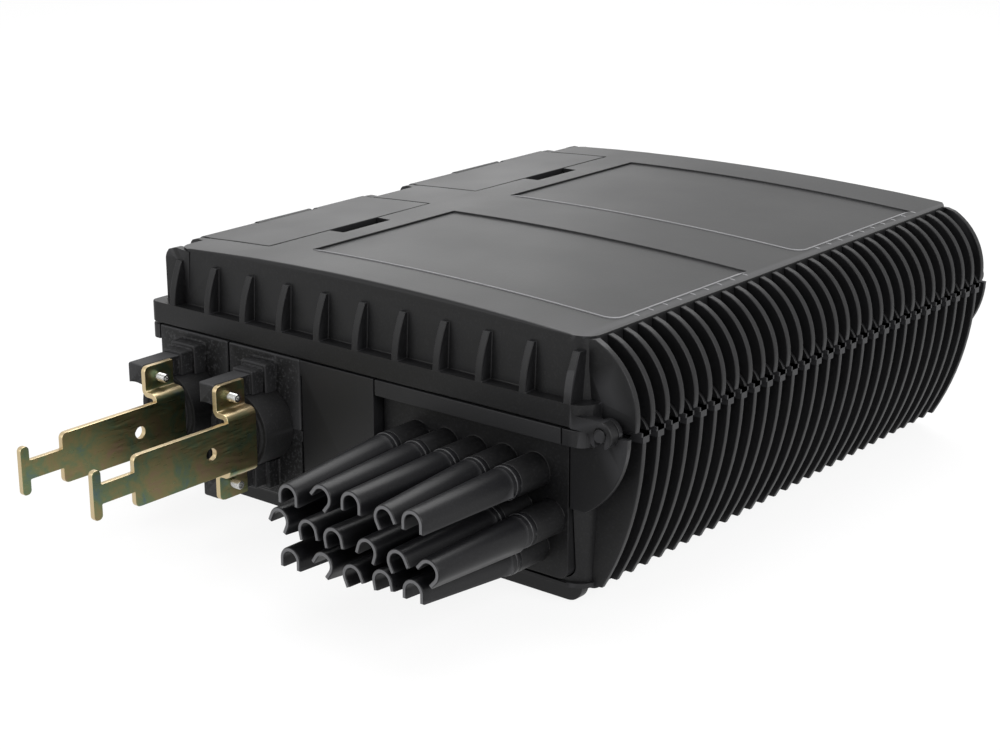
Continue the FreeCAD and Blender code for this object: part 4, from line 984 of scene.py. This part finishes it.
@dataclass
class DropPlugs:
    """The plugs of the drop ports: a collar and a tapered trough with straight legs."""

    collar: float = 2.5 * MM
    collar_radius: float = 7.2 * MM
    root_radius: float = 6.8 * MM
    end_radius: float = 5.3 * MM
    wall: float = 1.9 * MM
    leg: float = 3.6 * MM
    shank_radius: float = 5.2 * MM
    rounding: float = 0.5 * MM
    lip: float = 0.7 * MM
    sunk: float = 0.2 * MM
    centre_x: float = 60.8 * MM
    heights: tuple[float, ...] = (55.6 * MM, 37.6 * MM, 24.0 * MM)
    pitch_x: float = 15.4 * MM
    arch_points: int = 25
    taper_points: int = 14
    lip_points: int = 5
    segments: int = 48

    def section(self, radius: Array, inset: Array) -> Array:
        """Closed section of the trough: out along one leg, over the arch, and back inside.

        The outer line is an arch of the given radius with straight legs, and the inner line the
        same arch less the wall. Both move towards the middle of the wall by the inset.

        Args:
            radius: outer radius of each section.
            inset: distance by which each section is thinned on every side.

        Returns:
            Points (x, z) of every section, in one array.
        """
        angle = np.linspace(0, np.pi, self.arch_points)[None]
        foot = (inset - self.leg)[:, None]

        def line(size: Array) -> Array:
            """Legs and arch of one line, from the right foot to the left one."""
            wide = size[:, None]
            x = np.concatenate([wide, wide * np.cos(angle), -wide], axis=1)
            z = np.concatenate([foot, wide * np.sin(angle), foot], axis=1)
            return np.stack([x, z], axis=-1)

        outer, inner = line(radius - inset), line(radius - self.wall + inset)
        return np.concatenate([outer, inner[:, ::-1]], axis=1)

    def trough(self, length: float, pose: PlugPose) -> Grid:
        """Carries the section along the taper, and thins it at the free end to round the lip.

        A point (x, z) of the untwisted section goes to (x cos t + z sin t, z cos t - x sin t), the
        turn by an angle t about the plug's own axis, and then moves by the bend's share at its
        place.

        Args:
            length: distance from the tube's mouth to the free end.
            pose: the plug's turn and bend.

        Returns:
            Points about the middle of the tube's mouth, and quads.
        """
        arc = np.linspace(0, np.pi / 2, self.lip_points)[1:]
        root, end = 2 * self.collar, length - self.lip
        taper = np.linspace(root - self.sunk, end, self.taper_points)
        along = np.concatenate([taper, end + self.lip * np.sin(arc)])
        share = (along - root) / (length - root)
        radius = self.root_radius + (self.end_radius - self.root_radius) * share
        inset = np.concatenate([np.zeros_like(taper), self.lip * (1 - np.cos(arc))])
        flat = self.section(radius, inset)
        turn = math.radians(pose.turn_deg)
        cosine, sine = math.cos(turn), math.sin(turn)
        bend = np.clip(share, 0, 1)[:, None] * MM
        x = flat[..., 0] * cosine + flat[..., 1] * sine + bend * pose.side_mm
        z = flat[..., 1] * cosine - flat[..., 0] * sine + bend * pose.lift_mm
        points = np.stack([x, np.broadcast_to(-along[:, None], x.shape), z], axis=-1)
        rows, columns = points.shape[:2]
        quads = grid_faces(rows, columns, True)
        half = np.arange(columns // 2 - 1)
        cap = np.stack([half, half + 1, columns - 2 - half, columns - 1 - half], axis=-1)
        return points.reshape(-1, 3), np.concatenate([quads, cap, cap + (rows - 1) * columns])

    def build(self, shop: Workshop) -> None:
        """Builds all plugs, each in its node's place and turned as the node is."""
        mouth_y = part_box("drop_port_block")[0][1]
        number = 0
        for row, height in zip(PLUG_ROWS, self.heights):
            for column, pose in enumerate(row):
                number += 1
                x = self.centre_x + (column - (len(row) - 1) / 2) * self.pitch_x
                centre = np.array([x, mouth_y, height])
                self.build_one(shop, f"drop_plug_{number:02}", centre, PlugPose(*pose))

    def build_one(self, shop: Workshop, node: str, centre: Array, pose: PlugPose) -> None:
        """Builds one plug on the mouth of its tube.

        Args:
            shop: the frame and the materials.
            node: the plug's CAD node.
            centre: middle of the tube's mouth.
            pose: the plug's turn and bend.
        """
        low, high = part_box(node)
        length, inner = centre[1] - low[1], high[1] - centre[1]
        profile = rounded_profile([
            (0.0, -inner), (self.shank_radius, -inner), (self.shank_radius, 0.0),
            (self.collar_radius, 0.0), (self.collar_radius, self.collar),
            (self.root_radius, self.collar), (self.root_radius, 2 * self.collar),
            (0.0, 2 * self.collar)], self.rounding)
        points, quads = self.trough(length, pose)
        plug = lathe(profile, centre, -ALONG_Y, self.segments)
        piece = new_piece(f"cable_{node}", [(points + centre, quads), plug])
        shop.fit(piece, Body.BASE, "plug_plastic", PLUG, node)


@dataclass
class MainPorts:
    """Grommets and bracket screws of the two main cable ports."""

    ridge: float = 0.9 * MM
    ring_shares: tuple[float, ...] = (0.90, 0.86, 0.76, 0.72, 0.66, 0.62)
    bore_lead: float = 1.5 * MM
    rounding: float = 0.5 * MM
    grommet_segments: int = 72
    neck_radius: float = 10.6 * MM
    cable_radius: float = 8.5 * MM
    flange_depth: float = 17.5 * MM
    port_pitch: float = 44.3 * MM
    head_radius: float = 3.6 * MM
    head: float = 3.0 * MM
    dome_share: float = 0.45
    dome_points: int = 8
    shank_radius: float = 2.0 * MM
    shank: float = 19.0 * MM
    threaded: float = 5.5 * MM
    thread_pitch: float = 0.7 * MM
    thread_depth: float = 0.18 * MM
    thread_end: float = 0.2 * MM
    socket_radius: float = 1.1 * MM
    socket_depth: float = 2.0 * MM
    screw_segments: int = 32

    def grommet(self, shop: Workshop, number: int) -> None:
        """Turns a rubber grommet: a stepped face with two ridges, a lip and a flared bore.

        Args:
            shop: the frame and the materials.
            number: 1 or 2, from the left.
        """
        node = f"cable_grommet_{number}"
        low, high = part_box(node)
        centre = np.array([(low[0] + high[0]) / 2, high[1], (low[2] + high[2]) / 2])
        radius, face = (high[0] - low[0]) / 2, high[1] - low[1]
        neck, bore, flange = self.neck_radius, self.cable_radius, face - self.flange_depth
        ring = [radius * share for share in self.ring_shares]
        valley = face - self.ridge
        profile = rounded_profile([
            (bore, 0.0), (neck, 0.0), (neck, flange), (radius, flange), (radius, valley),
            (ring[0], valley), (ring[1], face), (ring[2], face), (ring[3], valley),
            (ring[4], valley), (ring[5], face), (bore + self.bore_lead, face),
            (bore, face - self.bore_lead), (bore, 0.0)], self.rounding)
        seal = lathe(profile, centre, -ALONG_Y, self.grommet_segments)
        piece = new_piece(f"port_seal_{number}", [seal])
        shop.fit(piece, Body.BASE, "rubber", RUBBER, node)

    def screws(self, shop: Workshop) -> None:
        """Turns the four bracket screws in one piece."""
        low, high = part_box("bracket_screws")
        y = (low[1] + high[1]) / 2
        profile = self.screw_profile()
        parts = [
            lathe(profile, np.array([x, y, z]), ALONG_X, self.screw_segments)
            for x in (low[0], low[0] + self.port_pitch)
            for z in (low[2] + self.head_radius, high[2] - self.head_radius)]
        piece = new_piece("bracket_screw_set", parts)
        shop.fit(piece, Body.BASE, "steel", STEEL, "bracket_screws")

    def screw_profile(self) -> Array:
        """Profile of a screw: a domed head, a plain shank, a thread and a blind socket in the tip.

        The thread's points lie half a pitch apart, and every second one is lower by the depth.

        Returns:
            Radius and distance along the screw of each point.
        """
        dome = np.linspace(0, np.pi / 2, self.dome_points)
        rise = self.head * self.dome_share * (1 - np.cos(dome))
        head = np.stack([self.head_radius * np.sin(dome), rise], axis=-1)
        neck = np.array([[self.head_radius, self.head], [self.shank_radius, self.head]])
        along = np.arange(
            self.shank - self.threaded, self.shank - self.thread_end, self.thread_pitch / 2)
        tooth = np.arange(len(along)) % 2 * self.thread_depth
        thread = np.stack([self.shank_radius - tooth, along], axis=-1)
        bottom = self.shank - self.socket_depth
        tip = np.array([
            [self.shank_radius - 2 * self.thread_depth, self.shank],
            [self.socket_radius, self.shank], [self.socket_radius, bottom], [0.0, bottom]])
        return np.concatenate([head, neck, thread, tip])

    def build(self, shop: Workshop) -> None:
        """Builds the grommets and the screws."""
        for number in (1, 2):
            self.grommet(shop, number)
        self.screws(shop)


def rounded_nodes() -> list[RoundedNode]:
    """Lists the CAD nodes that keep their shape and get rounded edges.

    Returns:
        One entry for each node, with its radius in millimetres and at times its rounding's steps.
    """
    base, housing, port = Body.BASE, ("housing_plastic", HOUSING), ("housing_plastic", PORT)
    tray, grey = ("tray_plastic", TRAY), ("grey_plastic", GREY)
    shells = [
        RoundedNode("base_housing", "tub_shell", base, *housing, 0.45),
        LidNode("lid_cover", "lid_shell", Body.LID, *housing, 0.5, 3),
    ]
    rows = [
        ("latch_lever_front", "latch_flap_front", Body.LEVER_FRONT, *housing, 0.4),
        ("latch_lever_rear", "latch_flap_rear", Body.LEVER_REAR, *housing, 0.4),
        ("latch_link_front", "latch_hook_front", Body.LINK_FRONT, *housing, 0.4),
        ("latch_link_rear", "latch_hook_rear", Body.LINK_REAR, *housing, 0.4),
        ("drop_port_block", "drop_tube_block", base, "housing_plastic", BLOCK, 0.5),
        ("fibre_deck", "fibre_guide_deck", base, *tray, 0.4),
        ("tray_holder", "tray_post_pair", base, *tray, 0.5),
        ("splice_combs", "splice_holders", base, "rubber", RUBBER, 0.25),
        ("splitter_module", "splitter_box", base, *grey, 0.9, 3),
        ("adapter_panel", "patch_plate", base, *grey, 0.3),
        ("adapters", "patch_adapters", base, "adapter_green", GREEN, 0.4),
        ("adapter_caps", "patch_dust_caps", base, "cap_plastic", CAP, 0.8, 3),
    ]
    for k in (1, 2):
        rows += [
            (f"cable_bracket_{k}", f"cable_strap_{k}", base, "zinc_steel", ZINC, 0.35),
            (f"cable_clamp_{k}", f"cable_saddle_{k}", base, *port, 0.5),
            (f"clamp_strap_{k}", f"saddle_bow_{k}", base, "steel", STEEL, 0.3),
            (f"cable_port_{k}_lower", f"port_plate_{k}_lower", base, *port, 0.9, 3),
            (f"cable_port_{k}_upper", f"port_plate_{k}_upper", base, *port, 0.9, 3),
        ]
    rows += [(f"splice_tray_{k}", f"fibre_tray_{k}", base, *tray, 0.4) for k in (1, 2, 3)]
    return shells + [RoundedNode(*row) for row in rows]


BARE_NODES: dict[str, Finish] = {
    "lid_gasket": RUBBER,
    "latch_pivot_pins": STEEL,
    "latch_link_pin_front": STEEL,
    "latch_link_pin_rear": STEEL,
    "clamp_screws": STEEL,
    "mount_inserts": BRASS,
    "tray_cover": CLEAR,
}


# Name, place and side in metres, and power in watts of each square soft lamp.
LAMPS = (
    ("overhead_softbox", (-0.25, 0.55, 1.5), 1.4, 26.0),
    ("right_softbox", (1.5, -0.35, 0.9), 1.0, 20.0),
    ("front_fill", (-0.5, -1.6, 0.7), 1.2, 10.0),
    ("rear_softbox", (-1.35, 1.35, 0.62), 0.6, 1.5),
)


@dataclass
class Studio:
    """Pale floor, soft lamps and the camera at the photograph's angle."""

    camera_place: Spot = (0.5553, -0.7436, 0.3349)
    forward: Spot = (-0.6002, 0.7397, -0.3038)
    up: Spot = (-0.1905, 0.2366, 0.9526)
    focal_px: float = 2032.0
    sensor_mm: float = 36.0
    nearest: float = 0.05
    aim: Spot = (0.0, -0.03, 0.06)
    floor_size: float = 6.0
    floor_lines: int = 9
    floor_z: float = -0.5 * MM
    floor_tones: tuple[str, str] = ("#f4f4f4", "#fafafa")
    floor_patch_mm: float = 50.0
    floor_roughness: float = 0.9
    floor_glow: float = 0.88
    world_strength: float = 0.55

    def camera(self) -> None:
        """Sets the camera with the photograph's view and field."""
        data = bpy.data.cameras.new("photo_camera")
        data.sensor_fit = "HORIZONTAL"
        data.sensor_width = self.sensor_mm
        data.lens = self.focal_px * self.sensor_mm / IMAGE_WIDTH
        data.clip_start = self.nearest
        camera = bpy.data.objects.new("photo_camera", data)
        forward = Vector(self.forward).normalized()
        right = forward.cross(Vector(self.up)).normalized()
        up = right.cross(forward)
        turn = Matrix((right, up, -forward)).transposed().to_4x4()
        camera.matrix_world = Matrix.Translation(self.camera_place) @ turn
        bpy.context.scene.collection.objects.link(camera)
        bpy.context.scene.camera = camera

    def lamps(self) -> None:
        """Hangs the lamps so that they face the closure."""
        for name, place, side, power in LAMPS:
            data = bpy.data.lights.new(name, "AREA")
            data.shape = "SQUARE"
            data.size = side
            data.energy = power
            lamp = bpy.data.objects.new(name, data)
            lamp.location = place
            way = Vector(self.aim) - Vector(place)
            lamp.rotation_euler = way.to_track_quat("-Z", "Y").to_euler()
            bpy.context.scene.collection.objects.link(lamp)

    def floor(self) -> None:
        """Lays a floor that is white to the camera and in reflections, apart from the shadow."""
        half, count = self.floor_size / 2, self.floor_lines
        line = np.linspace(-half, half, count)
        x, y = np.meshgrid(line, line, indexing="xy")
        points = np.stack([x, y, np.full_like(x, self.floor_z)], axis=-1).reshape(-1, 3)
        piece = new_piece("studio_floor", [(points, grid_faces(count, count, False))])
        recipe = Recipe("white_paper_floor")
        tree = recipe.tree
        tone = recipe.mix(recipe.noise(self.floor_patch_mm), *self.floor_tones)
        roughness = {"Roughness": self.floor_roughness}
        matt = add_node(tree, "BsdfPrincipled", roughness, {"Base Color": tone})
        glow = add_node(tree, "Emission", {"Strength": 1.0})
        share = add_node(
            tree, "Math", {"operation": "MULTIPLY", 1: self.floor_glow}, {0: self.seen(tree)})
        shader = add_node(tree, "MixShader", links={0: (share, 0), 1: (matt, 0), 2: (glow, 0)})
        add_node(tree, "OutputMaterial", links={"Surface": (shader, 0)})
        piece.data.materials.append(recipe.material)

    def seen(self, tree: NodeTree) -> Output:
        """Adds nodes that give 1 to rays from the camera, from gloss and through clear sheet.

        Args:
            tree: the floor's or the world's node tree.

        Returns:
            The output with that value.
        """
        path = add_node(tree, "LightPath")
        mirror = largest(tree, (path, "Is Glossy Ray"), (path, "Is Transmission Ray"))
        return largest(tree, (path, "Is Camera Ray"), mirror)

    def world(self) -> None:
        """Fills the room with white light, and shows as white to the camera and in reflections."""
        world = bpy.data.worlds.new("studio_world")
        bpy.context.scene.world = world
        world.use_nodes = True
        tree = world.node_tree
        tree.nodes.clear()
        settings = {"data_type": "FLOAT", 2: self.world_strength, 3: 1.0}
        level = add_node(tree, "Mix", settings, {0: self.seen(tree)})
        white = {"Color": (1.0, 1.0, 1.0, 1.0)}
        sky = add_node(tree, "Background", white, {"Strength": (level, 0)})
        add_node(tree, "OutputWorld", links={"Surface": (sky, 0)})

    def build(self) -> None:
        """Sets up the whole studio."""
        self.camera()
        self.floor()
        self.world()
        self.lamps()
        bpy.context.scene.view_settings.view_transform = "Standard"


def main() -> None:
    """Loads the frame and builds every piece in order."""
    logging.basicConfig(level=logging.INFO, format="%(message)s")
    shop = Workshop(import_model(), {})
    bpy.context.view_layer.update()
    for entry in rounded_nodes():
        entry.build(shop)
    for node, finish in BARE_NODES.items():
        shop.paint(node, finish)
    HingeRow().build(shop)
    PanelBeads().build(shop)
    MainPorts().build(shop)
    DropPlugs().build(shop)
    Studio().build()


if __name__ == "__main__":
    main()
